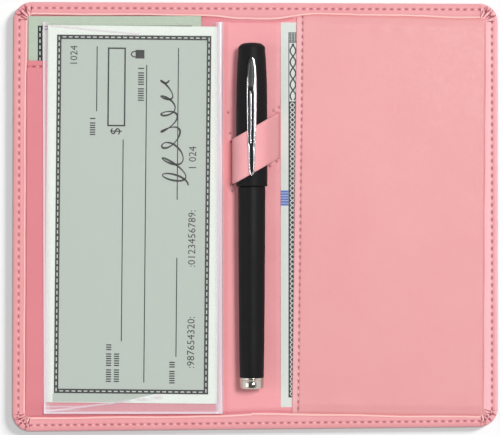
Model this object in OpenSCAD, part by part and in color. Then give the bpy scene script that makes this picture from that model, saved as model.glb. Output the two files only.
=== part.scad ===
// Checkbook cover, lying open with its inside up, with checks, a pen and a banknote in it.
// Millimetres. X runs across the open cover, Y along the fold, Z up from the outer face.
// The origin is the middle of the open cover, on the plane that it rests on.

/* [Cover] */
// Width of the open cover, from its left edge to its right edge
cover_w = 196.3; // [192:0.1:215]
// Height of the cover, along the fold
cover_h = 173.6; // [171:0.1:190]
// Radius of the four outer corners
corner_r = 7.5; // [6:0.1:12]
// Thickness of the outer skin
skin_t = 0.8; // [0.6:0.05:1.2]
// Thickness of the stiffening board in each half
stiffener_t = 0.6; // [0.5:0.05:1.2]
// Thickness of the lining
lining_t = 0.5; // [0.4:0.05:0.9]
// Thickness of each layer where it is pared down in the border seam
seam_t = 0.4; // [0.3:0.05:0.5]
// Width of the turned edge at the two sides
turn_side = 4.8; // [3.8:0.1:5.4]
// Width of the turned edge at the top
turn_top = 5; // [3.8:0.1:6]
// Width of the turned edge at the bottom
turn_bottom = 6.1; // [3.8:0.1:7]

/* [Spine] */
// Distance from the middle to the left crease
crease_left = 12.5; // [12.4:0.1:12.8]
// Distance from the middle to the right crease
crease_right = 9.9; // [9.8:0.1:10]
// Gap that each side keeps from a crease
crease_gap = 0.1; // [0.05:0.01:0.15]
// Thickness of the centre panel
panel_t = 0.4; // [0.3:0.05:0.6]
// Distance from the middle to the centre panel's left edge
panel_left = 14; // [13.6:0.1:14.2]
// How far the centre panel runs under the right pocket
panel_tuck = 4.5; // [2:0.1:10]

/* [Pockets] */
// Thickness of a pocket panel
pocket_t = 0.6; // [0.5:0.05:0.9]
// Distance from the cover's top edge down to the left pocket's mouth
left_pocket_drop = 24; // [18:0.1:27]
// Distance from the middle to the right pocket's mouth, half way up
right_pocket_x = 15.65; // [15:0.1:20]
// How much further right that mouth stands at the top than at the bottom
right_pocket_slant = 1.9; // [0:0.1:3]
// Height of the slot inside the right pocket
right_pocket_room = 0.32; // [0.25:0.01:0.8]
// Horizontal run of a pocket's sloping wall
wall_run = 1.4; // [1.2:0.1:1.5]
// Room between the turned edge and a pocket's wall
wall_start = 0.1; // [0.05:0.01:0.2]
// Width of the left pocket's seam beside the centre panel
pocket_seam = 1.2; // [0.8:0.1:1.3]

/* [Stitching] */
// Distance between border stitches
stitch_pitch = 3; // [2.4:0.1:4]
// Length of a border stitch
stitch_len = 2.1; // [1.2:0.1:2.3]
// Width of the thread
thread_w = 0.5; // [0.3:0.05:0.6]
// Height of the thread above what it is sewn on
thread_h = 0.2; // [0.1:0.02:0.22]
// Distance of the border stitching from the outer edge
stitch_inset = 2.5; // [1.6:0.1:3]
// Distance between hem stitches
hem_pitch = 2.8; // [2.2:0.1:4]
// Length of a hem stitch
hem_len = 1.7; // [1:0.1:2]
// Distance of the hem stitching from a pocket's mouth
hem_inset = 2.4; // [1.4:0.1:4]
// Depth of the groove that all stitching sinks into
groove_d = 0.24; // [0.24:0.01:0.3]

/* [Checks] */
// Length of a check
check_l = 152.4; // [148:0.1:153]
// Width of a check
check_w = 69.85; // [66:0.01:70.2]
// Thickness of the single leaf on top of a pad
leaf_t = 0.1; // [0.08:0.01:0.15]
// Thickness of the leaves below it in the upper pad
upper_leaves_t = 0.5; // [0.3:0.05:0.6]
// Thickness of the leaves below it in the lower pad
lower_leaves_t = 0.2; // [0.1:0.05:0.3]
// Thickness of the backing card of a pad
card_t = 0.3; // [0.2:0.02:0.35]
// Distance from the middle to the upper pad's centre line
upper_check_x = 49.8; // [49.6:0.1:50]
// Distance from the cover's top edge to the upper pad's top edge
upper_check_drop = 10.3; // [9.6:0.1:11.6]
// Clockwise turn of the upper pad
upper_check_turn = 0.53; // [0:0.01:0.6]
// How much narrower the upper backing card is than its leaves, at each side
card_inset = 3; // [2.8:0.1:6]
// Length of the bound strip at the top of the upper pad
binding_l = 8; // [5:0.1:10]
// Distance from the middle to the lower pad's right edge
lower_check_x = 22.2; // [21:0.1:22.6]
// Distance from the cover's top edge to the lower pad's top edge
lower_check_drop = 5.9; // [5.7:0.1:8]

/* [Clear flap] */
// Width of the clear flap, from its hinged edge to its free edge
flap_w = 73.4; // [66:0.1:74]
// Length of the clear flap
flap_l = 158.4; // [152:0.1:162]
// Thickness of the clear film
film_t = 0.15; // [0.1:0.01:0.2]
// Distance from the cover's top edge to the flap's top edge
flap_drop = 8.4; // [6.6:0.1:9.1]
// Outer radius of the curl at the flap's root
curl_r = 1.15; // [1:0.01:1.2]
// Distance from the curl's middle to the centre panel's left edge
curl_inset = 0.1; // [0:0.01:0.2]

/* [Pen] */
// Distance from the middle to the pen's axis
pen_x = 1.6; // [1.4:0.1:1.8]
// Distance from the cover's top edge to the pen's top end
pen_drop = 16.6; // [14.8:0.1:18.8]
// Overall length of the pen
pen_l = 139.6; // [130:0.1:141]
// Length of the cap
cap_l = 58.3; // [57:0.1:60]
// Diameter of the cap at its top end
cap_top_d = 10.6; // [10.4:0.1:11.4]
// Diameter of the cap at its mouth
cap_mouth_d = 12.6; // [12.2:0.1:12.6]
// Depth of the cap's solid end, above its bore
cap_crown = 9.6; // [8:0.1:11]
// Radius of the cap's rounded shoulder
cap_shoulder_r = 1.2; // [0.8:0.1:2]
// Diameter of the cap's bore
cap_bore_d = 9.8; // [9.7:0.05:9.9]
// Wall of the inner liner of the cap
liner_wall = 0.3; // [0.25:0.01:0.35]
// Diameter of the barrel where it meets the cap
barrel_d = 10.95; // [10.4:0.05:11.4]
// Diameter of the barrel at its far end
barrel_end_d = 9.7; // [9.3:0.1:10.2]
// Diameter of the barrel's bore
barrel_bore_d = 7.2; // [6.8:0.1:7.4]
// Length of the grip in front of the barrel
grip_l = 40; // [36:0.1:41]
// Diameter of the grip at the barrel
grip_d = 8.8; // [8.4:0.05:8.9]
// Diameter of the grip at the point
grip_end_d = 6.4; // [6:0.1:7]
// Length of the grip's spigot inside the barrel
spigot_l = 8; // [5:0.1:12]
// Length of the point
point_l = 5.2; // [4:0.1:5.4]
// Diameter of the point's neck
point_neck_d = 3.2; // [2.4:0.1:3.6]
// Length of the point's neck
point_neck_l = 1.6; // [1:0.1:2]
// Diameter of the point's tip
point_tip_d = 1; // [0.8:0.1:1.4]
// Length of the tip's taper
point_tip_l = 0.4; // [0.2:0.1:0.6]
// Diameter of the refill
refill_d = 4.8; // [4:0.1:5.2]
// Length of the refill
refill_l = 96; // [80:0.1:104]
// Length of the end plug that shows
plug_l = 4.5; // [3.5:0.1:6]
// Diameter of the end plug
plug_d = 9.9; // [9.5:0.1:10.4]
// Radius of the plug's rounded end
plug_edge_r = 1.2; // [0.8:0.1:2]
// Running clearance between the parts of the pen, on the radius
pen_fit = 0.05; // [0.03:0.01:0.06]

/* [Clip] */
// Distance from the pen's top end to the clip's top end
clip_drop = 5.7; // [4:0.1:7]
// Overall length of the clip
clip_l = 48.1; // [46:0.1:50]
// Width of the clip at its top end
clip_root_w = 3; // [2.6:0.1:3.4]
// Width of the clip at its widest
clip_w = 4; // [3.6:0.1:4.4]
// Width of the clip at its tip
clip_tip_w = 2.4; // [2:0.1:2.6]
// Distance from the tip to the clip's widest place
clip_taper = 14; // [10:0.1:18]
// Thickness of the clip
clip_t = 0.9; // [0.7:0.1:1.2]
// Width of the groove along the clip
clip_groove_w = 1.1; // [0.8:0.1:1.4]
// Depth of that groove
clip_groove_d = 0.4; // [0.2:0.05:0.5]
// Length of that groove
clip_groove_l = 23; // [15:0.1:26]
// Distance from the clip's top end to the groove
clip_groove_drop = 14; // [8:0.1:18]
// Length of the post that carries the clip
post_l = 3; // [2:0.1:4]
// How much narrower the post is than the clip's top end, at each side
post_inset = 0.2; // [0.1:0.1:0.4]

/* [Pen loop] */
// Thickness of the strap
strap_t = 0.9; // [0.7:0.05:1]
// Width of the strap along the fold
strap_w = 18.3; // [14:0.1:20]
// Slant of the strap's edges
strap_slant = 30; // [25:1:32]
// Distance from the middle to the strap's left end
strap_left = 9.6; // [9.5:0.1:9.7]
// Distance from the middle to the strap's right end
strap_right = 9.4; // [9:0.1:9.5]
// Distance from the cover's top edge to the middle of the strap's left end
strap_drop = 64.9; // [64.4:0.1:65.8]
// Number of tacking stitches at each corner of the strap
tacks = 2; // [1:1:2]
// Distance between tacking stitches
tack_pitch = 2.2; // [1.8:0.1:2.4]
// Length of a tacking stitch
tack_len = 1; // [0.7:0.1:1.2]
// Distance from the strap's edge to the first tacking stitch
tack_start = 1.6; // [1.2:0.1:2]
// Distance of the tacking stitches from the strap's end, towards the left
tack_inset = 1; // [0.8:0.1:1.2]

/* [Banknote] */
// Length of the banknote
note_l = 155.96; // [150:0.01:157]
// Width of the banknote
note_w = 66.3; // [60:0.01:68]
// Thickness of the banknote
note_t = 0.12; // [0.1:0.01:0.15]
// Distance from the middle to the banknote's left edge
note_x = 10.15; // [10.1:0.01:10.6]
// Height of the banknote's middle above the cover's middle
note_y = 0.5; // [-1:0.1:1]

/* [Clearances] */
// Gap between things that slide over each other
slide_gap = 0.05; // [0.04:0.01:0.08]
// Gap beside the inner layers, inside the turned edge
layer_gap = 0.1; // [0.05:0.01:0.2]

/* [Hidden] */

$fn = 64;
far = 300;
half_w = cover_w / 2;
half_h = cover_h / 2;
layer_inset = skin_t + layer_gap;
shoulder_steps = 6;
thread_sides = 5;

// Heights of the layers, from the outer face up
z_board = skin_t;
z_lining = z_board + stiffener_t;
z_inside = z_lining + lining_t;
z_seam = z_board + seam_t;
z_turned = z_seam + seam_t;
z_face = z_inside + panel_t;
z_stitch = z_face - groove_d;
z_lower = z_face + slide_gap;
z_card = z_lower + card_t + lower_leaves_t + leaf_t + slide_gap;
z_left_pocket = z_card + card_t + slide_gap;
z_upper = z_left_pocket + pocket_t + slide_gap;
z_flap = z_upper + upper_leaves_t + leaf_t + slide_gap;
z_note = z_face + slide_gap;
z_right_pocket = z_face + right_pocket_room;

// Places in the plane of the cover
left_in = -half_w + layer_inset;
right_in = half_w - layer_inset;
bottom_in = -half_h + layer_inset;
top_in = half_h - layer_inset;
left_end = -crease_left - crease_gap;
spine_start = -crease_left + crease_gap;
spine_end = crease_right - crease_gap;
right_start = crease_right + crease_gap;
pocket_mouth = half_h - left_pocket_drop;
margin_side = turn_side - layer_inset + wall_start;
margin_top = turn_top - layer_inset + wall_start;
margin_bottom = turn_bottom - layer_inset + wall_start;
// How much further in than a pocket's wall the lining and the centre panel dip
dip = 3 * wall_start;

// The curl and the pen
curl_x = -panel_left + curl_inset;
curl_z = z_face + curl_r;
pen_z = z_face + slide_gap + cap_mouth_d / 2;
pen_top = half_h - pen_drop;
cap_mouth = pen_top - cap_l;
cap_wall_end = pen_top - cap_crown;
barrel_top = cap_mouth - pen_fit;
pen_end = pen_top - pen_l;
barrel_end = pen_end + plug_l;
grip_end = barrel_top + grip_l;
point_end = grip_end + point_l;
loop_r = cap_mouth_d / 2 + slide_gap + pen_fit;
clip_z = pen_z + loop_r + strap_t + 2 * slide_gap;
clip_top = pen_top - clip_drop;
clip_bottom = clip_top - clip_l;

// A box given by its limits along each axis
module span(x, y, z) {
    translate([x[0], y[0], z[0]])
        cube([x[1] - x[0], y[1] - y[0], z[1] - z[0]]);
}

// A flat plate with rounded corners, centred on the origin in plan
module rounded_plate(w, h, r, z) {
    span([-w / 2 + r, w / 2 - r], [-h / 2, h / 2], z);
    span([-w / 2, w / 2], [-h / 2 + r, h / 2 - r], z);
    for (x = [-1, 1], y = [-1, 1])
        translate([x * (w / 2 - r), y * (h / 2 - r), z[0]])
            cylinder(h = z[1] - z[0], r = r);
}

// A strip whose outer edge, at x = end, is a half round of the cover's thickness
module round_ended(start, end) {
    rim = z_face / 2;
    translate([start, 0])
        square([end - rim - start, z_face]);
    intersection() {
        translate([end - rim, rim])
            circle(r = rim);
        translate([end - rim, 0])
            square([rim, z_face]);
    }
}

// The closed outer form of the cover, whose rim is a half round all the way about
module cover_form() {
    x = half_w - corner_r;
    y = half_h - corner_r;
    for (turn = [0, 180])
        rotate([0, 0, turn]) {
            rotate([90, 0, 0])
                linear_extrude(2 * y, center = true)
                    round_ended(0, half_w);
            rotate([90, 0, 90])
                translate([y, 0, 0])
                    linear_extrude(2 * x, center = true)
                        round_ended(0, corner_r);
        }
    for (i = [0 : 3])
        translate([(i == 0 || i == 3 ? 1 : -1) * x, (i < 2 ? 1 : -1) * y, 0])
            rotate([0, 0, 90 * i])
                rotate_extrude(angle = 90)
                    round_ended(0, corner_r);
}

// The groove round the border that the stitching lies in
module border_groove() {
    difference() {
        rounded_plate(
            cover_w - 2 * (stitch_inset - thread_w), cover_h - 2 * (stitch_inset - thread_w),
            corner_r - stitch_inset + thread_w, [z_stitch, z_face + 1]
        );
        rounded_plate(
            cover_w - 2 * (stitch_inset + thread_w), cover_h - 2 * (stitch_inset + thread_w),
            corner_r - stitch_inset - thread_w, [0, z_face + 2]
        );
    }
}

// The skin between two heights of X, turned over the border and open inside it
module outer_skin(x, thick_seam = false) {
    difference() {
        intersection() {
            cover_form();
            span(x, [-far, far], [-1, z_face + 1]);
        }
        rounded_plate(
            cover_w - 2 * skin_t, cover_h - 2 * skin_t, corner_r - skin_t, [z_board, z_seam]
        );
        difference() {
            rounded_plate(
                cover_w - 2 * skin_t, cover_h - 2 * skin_t, corner_r - skin_t,
                [z_seam - 0.01, z_turned]
            );
            if (thick_seam)
                span([-far, -panel_left], [pocket_mouth, far], [0, z_face]);
        }
        span(
            [-half_w + turn_side, half_w - turn_side],
            [-half_h + turn_bottom, half_h - turn_top],
            [z_board, z_face + 1]
        );
        border_groove();
    }
}

// Outline, in one upright plane, of the space below a sheet whose ends may step down
function below(ends, margins, lows, high, bottom, over) = concat(
    [[ends[0] - over, bottom], [ends[1] + over, bottom]],
    margins[1] > 0
        ? [
            [ends[1] + over, lows[1]],
            [ends[1] - margins[1], lows[1]],
            [ends[1] - margins[1] - wall_run, high]
        ]
        : [[ends[1] + over, high]],
    margins[0] > 0
        ? [
            [ends[0] + margins[0] + wall_run, high],
            [ends[0] + margins[0], lows[0]],
            [ends[0] - over, lows[0]]
        ]
        : [[ends[0] - over, high]]
);

// The space below a sheet that steps down along chosen sides
module space_below(x, y, margin_x, margin_y, low_x, low_y, high, bottom, over) {
    intersection() {
        rotate([90, 0, 0])
            linear_extrude(2 * far, center = true)
                polygon(below(x, margin_x, low_x, high, bottom, over));
        rotate([90, 0, 90])
            linear_extrude(2 * far, center = true)
                polygon(below(y, margin_y, low_y, high, bottom, over));
    }
}

// A sheet of one thickness inside and another in its pared margins
module formed_sheet(x, y, margin_x, margin_y, low_x, low_y, high, t) {
    rim_t = [seam_t, seam_t];
    intersection() {
        difference() {
            space_below(
                x, y, margin_x, margin_y, low_x + rim_t, low_y + rim_t, high + t, 0, 0
            );
            space_below(x, y, margin_x, margin_y, low_x, low_y, high, -1, 1);
        }
        rounded_plate(
            cover_w - 2 * layer_inset, cover_h - 2 * layer_inset,
            corner_r - layer_inset, [0, 2 * z_flap]
        );
    }
}

// A lining that dips into the border seam at the top, the bottom and chosen sides
module lining(x, margin_x) {
    formed_sheet(
        x, [bottom_in, top_in], margin_x, [margin_bottom + dip, margin_top + dip],
        [z_board, z_board], [z_board, z_board], z_lining, lining_t
    );
}

// A stiffening board inside one half of the cover
module stiffener(x) {
    inset = layer_inset + dip + wall_run;
    span(
        x,
        [-half_h + margin_bottom + inset, half_h - margin_top - inset],
        [z_board, z_lining]
    );
}

// A part of the centre panel, which lies on the lining
module panel_part(x) {
    formed_sheet(
        x, [bottom_in, top_in], [0, 0], [margin_bottom + dip, margin_top + dip],
        [z_seam, z_seam], [z_seam, z_seam], z_inside, panel_t
    );
}

// One stitch along X, a low rounded bar that sits on the plane z = 0
module stitch(l) {
    rotate([90, 0, 90])
        linear_extrude(l, center = true)
            polygon([
                for (i = [0 : thread_sides])
                    [
                        thread_w / 2 * cos(180 * i / thread_sides),
                        thread_h * sin(180 * i / thread_sides)
                    ]
            ]);
}

// A straight row of stitches between two points in plan
module stitch_row(from, to, z, l, pitch) {
    run = norm(to - from);
    count = floor((run - l) / pitch) + 1;
    first = (run - (count - 1) * pitch) / 2;
    translate([from[0], from[1], z])
        rotate([0, 0, atan2(to[1] - from[1], to[0] - from[0])])
            for (i = [0 : count - 1])
                translate([first + i * pitch, 0, 0])
                    stitch(l);
}

// The stitches round one outer corner; right and up are 1 or -1
module stitch_corner(right, up) {
    r = corner_r - stitch_inset;
    count = floor(PI / 2 * r / stitch_pitch);
    for (i = [0 : count - 1]) {
        turn = 90 * (i + 0.5) / count;
        translate([
            right * (half_w - corner_r + r * cos(turn)),
            up * (half_h - corner_r + r * sin(turn)),
            z_stitch
        ])
            rotate([0, 0, 90 + right * up * turn])
                stitch(stitch_len);
    }
}

// Border stitching along the top and bottom between two heights of X
module border_rows(x) {
    for (y = [-1, 1])
        stitch_row(
            [x[0], y * (half_h - stitch_inset)], [x[1], y * (half_h - stitch_inset)],
            z_stitch, stitch_len, stitch_pitch
        );
}

// Border stitching down one side and round its two corners; right is 1 or -1
module border_side(right) {
    x = right * (half_w - stitch_inset);
    y = half_h - corner_r;
    stitch_row([x, -y], [x, y], z_stitch, stitch_len, stitch_pitch);
    for (up = [-1, 1])
        stitch_corner(right, up);
}

module left_outer_skin() {
    color([0.9, 0.62, 0.65])
        outer_skin([-far, left_end], thick_seam = true);
}

module spine_outer_skin() {
    color([0.9, 0.62, 0.65])
        outer_skin([spine_start, spine_end]);
}

module right_outer_skin() {
    color([0.9, 0.62, 0.65])
        outer_skin([right_start, far]);
}

module left_stiffener() {
    color([0.62, 0.56, 0.48])
        stiffener([left_in + margin_side + dip + wall_run, left_end - 2 * crease_gap]);
}

module spine_interlining() {
    color([0.85, 0.83, 0.8])
        stiffener([spine_start, spine_end]);
}

module right_stiffener() {
    color([0.62, 0.56, 0.48])
        stiffener([right_start + 2 * crease_gap, right_in - margin_side - dip - wall_run]);
}

module left_lining() {
    color([0.84, 0.5, 0.55])
        lining([left_in, left_end], [margin_side + dip, 0]);
}

module spine_lining() {
    color([0.84, 0.5, 0.55])
        lining([spine_start, spine_end], [0, 0]);
}

module right_lining() {
    color([0.84, 0.5, 0.55])
        lining([right_start, right_in], [0, margin_side + dip]);
}

module centre_panel() {
    slit = strap_t + 2 * slide_gap;
    color([0.93, 0.64, 0.67])
        difference() {
            panel_part([spine_start, spine_end]);
            for (side = [-1, 1])
                strap_end(side, slit, strap_w + 2 * slide_gap, [z_inside - 1, z_face + 1]);
        }
}

module centre_panel_left_edge() {
    color([0.93, 0.64, 0.67])
        panel_part([-panel_left, left_end]);
}

module centre_panel_right_edge() {
    reach = right_pocket_x + panel_tuck;
    color([0.93, 0.64, 0.67])
        difference() {
            panel_part([right_start, reach]);
            for (up = [-1, 1])
                intersection() {
                    right_pocket_plan(-layer_gap);
                    span(
                        [0, far],
                        up > 0
                            ? [half_h - turn_top - dip - wall_run - layer_gap, far]
                            : [-far, -half_h + turn_bottom + dip + wall_run + layer_gap],
                        [0, z_face + 1]
                    );
                }
        }
}

module left_pocket_panel() {
    color([0.91, 0.6, 0.63])
        difference() {
            formed_sheet(
                [left_in, -panel_left], [bottom_in, pocket_mouth],
                [margin_side, pocket_seam], [margin_bottom, 0],
                [z_seam, z_inside], [z_seam, z_seam], z_left_pocket, pocket_t
            );
            span(
                [-far, far],
                [pocket_mouth - hem_inset - thread_w, pocket_mouth - hem_inset + thread_w],
                [z_left_pocket + pocket_t - groove_d, far]
            );
        }
}

// Everything to the right of the right pocket's slanting mouth
module right_pocket_plan(shift) {
    x = right_pocket_x + shift;
    lean = right_pocket_slant / 2;
    linear_extrude(far, center = true)
        polygon([
            [x - lean, -half_h], [half_w, -half_h], [half_w, half_h], [x + lean, half_h]
        ]);
}

// Turns and moves its children so that Y runs along the right pocket's mouth
module along_right_mouth() {
    translate([right_pocket_x, 0, 0])
        rotate([0, 0, -atan2(right_pocket_slant, cover_h)])
            children();
}

module right_pocket_panel() {
    color([0.94, 0.67, 0.69])
        difference() {
            intersection() {
                formed_sheet(
                    [right_start, right_in], [bottom_in, top_in],
                    [0, margin_side], [margin_bottom, margin_top],
                    [z_seam, z_seam], [z_seam, z_seam], z_right_pocket, pocket_t
                );
                right_pocket_plan(0);
            }
            along_right_mouth()
                span(
                    [hem_inset - thread_w, hem_inset + thread_w], [-far, far],
                    [z_right_pocket + pocket_t - groove_d, far]
                );
        }
}

module left_border_stitching() {
    color([0.8, 0.42, 0.48]) {
        border_rows([-half_w + corner_r, left_end]);
        border_side(-1);
    }
}

module spine_border_stitching() {
    color([0.8, 0.42, 0.48])
        border_rows([spine_start, spine_end]);
}

module right_border_stitching() {
    color([0.8, 0.42, 0.48]) {
        border_rows([right_start, half_w - corner_r]);
        border_side(1);
    }
}

module left_hem_stitching() {
    y = pocket_mouth - hem_inset;
    color([0.8, 0.42, 0.48])
        stitch_row(
            [left_in + margin_side + wall_run, y], [-panel_left - pocket_seam - wall_run, y],
            z_left_pocket + pocket_t - groove_d, hem_len, hem_pitch
        );
}

module right_hem_stitching() {
    color([0.8, 0.42, 0.48])
        along_right_mouth()
            stitch_row(
                [hem_inset, bottom_in + margin_bottom + wall_run + hem_inset],
                [hem_inset, top_in - margin_top - wall_run - hem_inset],
                z_right_pocket + pocket_t - groove_d, hem_len, hem_pitch
            );
}

// Height of the middle of the strap at a place across the fold
function strap_middle(x) = half_h - strap_drop + (x + strap_left) * tan(strap_slant);

// One end of the strap in its slit; side is -1 at the left and 1 at the right
module strap_end(side, w, l, z) {
    x = side < 0 ? -strap_left + strap_t / 2 : strap_right - strap_t / 2;
    y = strap_middle(side < 0 ? -strap_left : strap_right);
    span([x - w / 2, x + w / 2], [y - l / 2, y + l / 2], z);
}

// Point where a line from a foot of the strap touches a circle about the pen
function touch(foot, r, side) =
    let (
        away = foot - [-pen_x, pen_z],
        turn = atan2(away[1], away[0]) + side * acos(r / norm(away))
    )
    [-pen_x + r * cos(turn), pen_z + r * sin(turn)];

// The space inside one face of the strap, seen along the pen
module strap_side(r, inset) {
    left = [-strap_left + inset, z_face];
    right = [strap_right - inset, z_face];
    rotate([90, 0, 0])
        linear_extrude(2 * far, center = true)
            polygon([left, touch(left, r, -1), [-pen_x, pen_z], touch(right, r, 1), right]);
    translate([-pen_x, 0, pen_z])
        rotate([90, 0, 0])
            cylinder(h = 2 * far, r = r, center = true);
}

module pen_loop() {
    color([0.94, 0.66, 0.68]) {
        intersection() {
            difference() {
                strap_side(loop_r + strap_t, 0);
                strap_side(loop_r, strap_t);
            }
            linear_extrude(2 * far)
                polygon([
                    [-far, strap_middle(-far) - strap_w / 2],
                    [far, strap_middle(far) - strap_w / 2],
                    [far, strap_middle(far) + strap_w / 2],
                    [-far, strap_middle(-far) + strap_w / 2]
                ]);
            span([-far, far], [-far, far], [z_face, far]);
        }
        for (side = [-1, 1])
            strap_end(side, strap_t, strap_w - strap_t * tan(strap_slant), [z_inside, z_face]);
    }
}

module pen_loop_stitching() {
    color([0.8, 0.42, 0.48])
        for (side = [-1, 1], up = [-1, 1], i = [1 : tacks])
            translate([
                side < 0 ? -strap_left - tack_inset : strap_right - strap_t - tack_inset,
                strap_middle(side < 0 ? -strap_left : strap_right)
                    + up * (strap_w / 2 + tack_start + (i - 1) * tack_pitch),
                z_face
            ])
                rotate([0, 0, 90])
                    stitch(tack_len);
}

// A check-shaped sheet with its middle at the origin
module check_sheet(z, side_inset = 0) {
    span(
        [-check_w / 2 + side_inset, check_w / 2 - side_inset],
        [-check_l / 2, check_l / 2],
        z
    );
}

module on_upper_pad() {
    translate([-upper_check_x, half_h - upper_check_drop - check_l / 2, 0])
        rotate([0, 0, -upper_check_turn])
            children();
}

module on_lower_pad() {
    translate([-lower_check_x - check_w / 2, half_h - lower_check_drop - check_l / 2, 0])
        children();
}

module upper_check_top_leaf() {
    z = z_upper + upper_leaves_t;
    color([0.8, 0.88, 0.8])
        on_upper_pad()
            check_sheet([z, z + leaf_t]);
}

module upper_check_leaves() {
    color([0.88, 0.92, 0.87])
        on_upper_pad()
            check_sheet([z_upper, z_upper + upper_leaves_t]);
}

module upper_check_backing() {
    color([0.75, 0.7, 0.6])
        on_upper_pad()
            check_sheet([z_card, z_card + card_t], card_inset);
}

module upper_check_binding() {
    color([0.86, 0.88, 0.84])
        on_upper_pad()
            span(
                [-check_w / 2 + card_inset, check_w / 2 - card_inset],
                [check_l / 2 - binding_l, check_l / 2],
                [z_card + card_t, z_upper]
            );
}

module lower_check_top_leaf() {
    z = z_lower + card_t + lower_leaves_t;
    color([0.73, 0.81, 0.73])
        on_lower_pad()
            check_sheet([z, z + leaf_t]);
}

module lower_check_leaves() {
    color([0.85, 0.9, 0.84])
        on_lower_pad()
            check_sheet([z_lower + card_t, z_lower + card_t + lower_leaves_t]);
}

module lower_check_backing() {
    color([0.75, 0.7, 0.6])
        on_lower_pad()
            check_sheet([z_lower, z_lower + card_t]);
}

module clear_flap() {
    color([0.9, 0.92, 0.95, 0.3])
        span(
            [curl_x - flap_w, curl_x],
            [half_h - flap_drop - flap_l, half_h - flap_drop],
            [z_flap, z_flap + film_t]
        );
}

// The fixed end of the film, which curls up from its seam beside the centre panel
module clear_flap_root() {
    color([0.9, 0.92, 0.95, 0.3])
        translate([curl_x, half_h - flap_drop - flap_l / 2, curl_z])
            rotate([90, 0, 0])
                difference() {
                    cylinder(h = flap_l, r = curl_r, center = true);
                    cylinder(h = flap_l + 1, r = curl_r - film_t, center = true);
                    translate([-2 * curl_r, -2 * curl_r, -flap_l])
                        cube([2 * curl_r, 4 * curl_r, 2 * flap_l]);
                    rotate([0, 0, 45])
                        translate([0, 0, -flap_l])
                            cube([2 * curl_r, 2 * curl_r, 2 * flap_l]);
                }
}

// Places a part turned about the pen's axis, with its profile's second axis along the pen
module about_pen() {
    translate([-pen_x, 0, pen_z])
        rotate([-90, 0, 0])
            rotate_extrude()
                children();
}

// Outline of the outside of the cap, from its mouth to its closed top
function cap_outline() = concat(
    [[0, cap_mouth], [cap_mouth_d / 2, cap_mouth]],
    [
        for (i = [0 : shoulder_steps])
            [
                cap_top_d / 2 - cap_shoulder_r * (1 - cos(90 * i / shoulder_steps)),
                pen_top - cap_shoulder_r * (1 - sin(90 * i / shoulder_steps))
            ]
    ],
    [[0, pen_top]]
);

module pen_cap() {
    color([0.13, 0.13, 0.13])
        difference() {
            about_pen()
                polygon(cap_outline());
            about_pen()
                translate([0, cap_mouth - 1])
                    square([cap_bore_d / 2, cap_wall_end - cap_mouth + 1]);
        }
}

module pen_cap_liner() {
    r = cap_bore_d / 2 - pen_fit;
    start = cap_mouth + spigot_l;
    color([0.85, 0.85, 0.85])
        difference() {
            about_pen()
                translate([0, start])
                    square([r, cap_wall_end - start]);
            about_pen()
                translate([0, start - 1])
                    square([r - liner_wall, cap_wall_end - start + 1 - 2 * liner_wall]);
        }
}

// The clip seen from above, its top end square and its tip round
module clip_plan() {
    tip_r = clip_tip_w / 2;
    translate([0, clip_bottom + tip_r])
        circle(r = tip_r);
    polygon([
        [-tip_r, clip_bottom + tip_r], [tip_r, clip_bottom + tip_r],
        [clip_w / 2, clip_bottom + clip_taper], [clip_root_w / 2, clip_top],
        [-clip_root_w / 2, clip_top], [-clip_w / 2, clip_bottom + clip_taper]
    ]);
}

module pen_clip() {
    color([0.85, 0.85, 0.87]) {
        difference() {
            translate([-pen_x, 0, clip_z])
                linear_extrude(clip_t)
                    clip_plan();
            span(
                [-pen_x - clip_groove_w / 2, -pen_x + clip_groove_w / 2],
                [clip_top - clip_groove_drop - clip_groove_l, clip_top - clip_groove_drop],
                [clip_z + clip_t - clip_groove_d, far]
            );
        }
        difference() {
            span(
                [
                    -pen_x - clip_root_w / 2 + post_inset,
                    -pen_x + clip_root_w / 2 - post_inset
                ],
                [clip_top - post_l, clip_top], [pen_z, clip_z]
            );
            about_pen()
                polygon(cap_outline());
        }
    }
}

module pen_barrel() {
    color([0.15, 0.15, 0.15])
        about_pen()
            polygon([
                [barrel_bore_d / 2, barrel_end], [barrel_end_d / 2, barrel_end],
                [barrel_d / 2, barrel_top], [barrel_bore_d / 2, barrel_top]
            ]);
}

module pen_grip() {
    bore = refill_d / 2 + pen_fit;
    color([0.2, 0.2, 0.2])
        about_pen()
            polygon([
                [bore, barrel_top - spigot_l], [barrel_bore_d / 2, barrel_top - spigot_l],
                [barrel_bore_d / 2, barrel_top], [grip_d / 2, barrel_top],
                [grip_d / 2, barrel_top + grip_l / 2], [grip_end_d / 2, grip_end],
                [bore, grip_end]
            ]);
}

module pen_point() {
    color([0.8, 0.8, 0.82])
        about_pen()
            polygon([
                [0, grip_end], [grip_end_d / 2, grip_end],
                [point_neck_d / 2, point_end - point_neck_l],
                [point_tip_d / 2, point_end - point_tip_l],
                [0, point_end]
            ]);
}

module pen_refill() {
    color([0.75, 0.78, 0.8])
        about_pen()
            translate([0, grip_end - refill_l])
                square([refill_d / 2, refill_l]);
}

module pen_end_plug() {
    r = plug_d / 2;
    color([0.86, 0.86, 0.88])
        about_pen()
            polygon(concat(
                [[0, pen_end]],
                [
                    for (i = [0 : shoulder_steps])
                        [
                            r - plug_edge_r * (1 - sin(90 * i / shoulder_steps)),
                            pen_end + plug_edge_r * (1 - cos(90 * i / shoulder_steps))
                        ]
                ],
                [
                    [r, barrel_end], [barrel_bore_d / 2, barrel_end],
                    [barrel_bore_d / 2, barrel_end + plug_l], [0, barrel_end + plug_l]
                ]
            ));
}

module banknote() {
    color([0.86, 0.87, 0.84])
        span(
            [note_x, note_x + note_w], [note_y - note_l / 2, note_y + note_l / 2],
            [z_note, z_note + note_t]
        );
}

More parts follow.
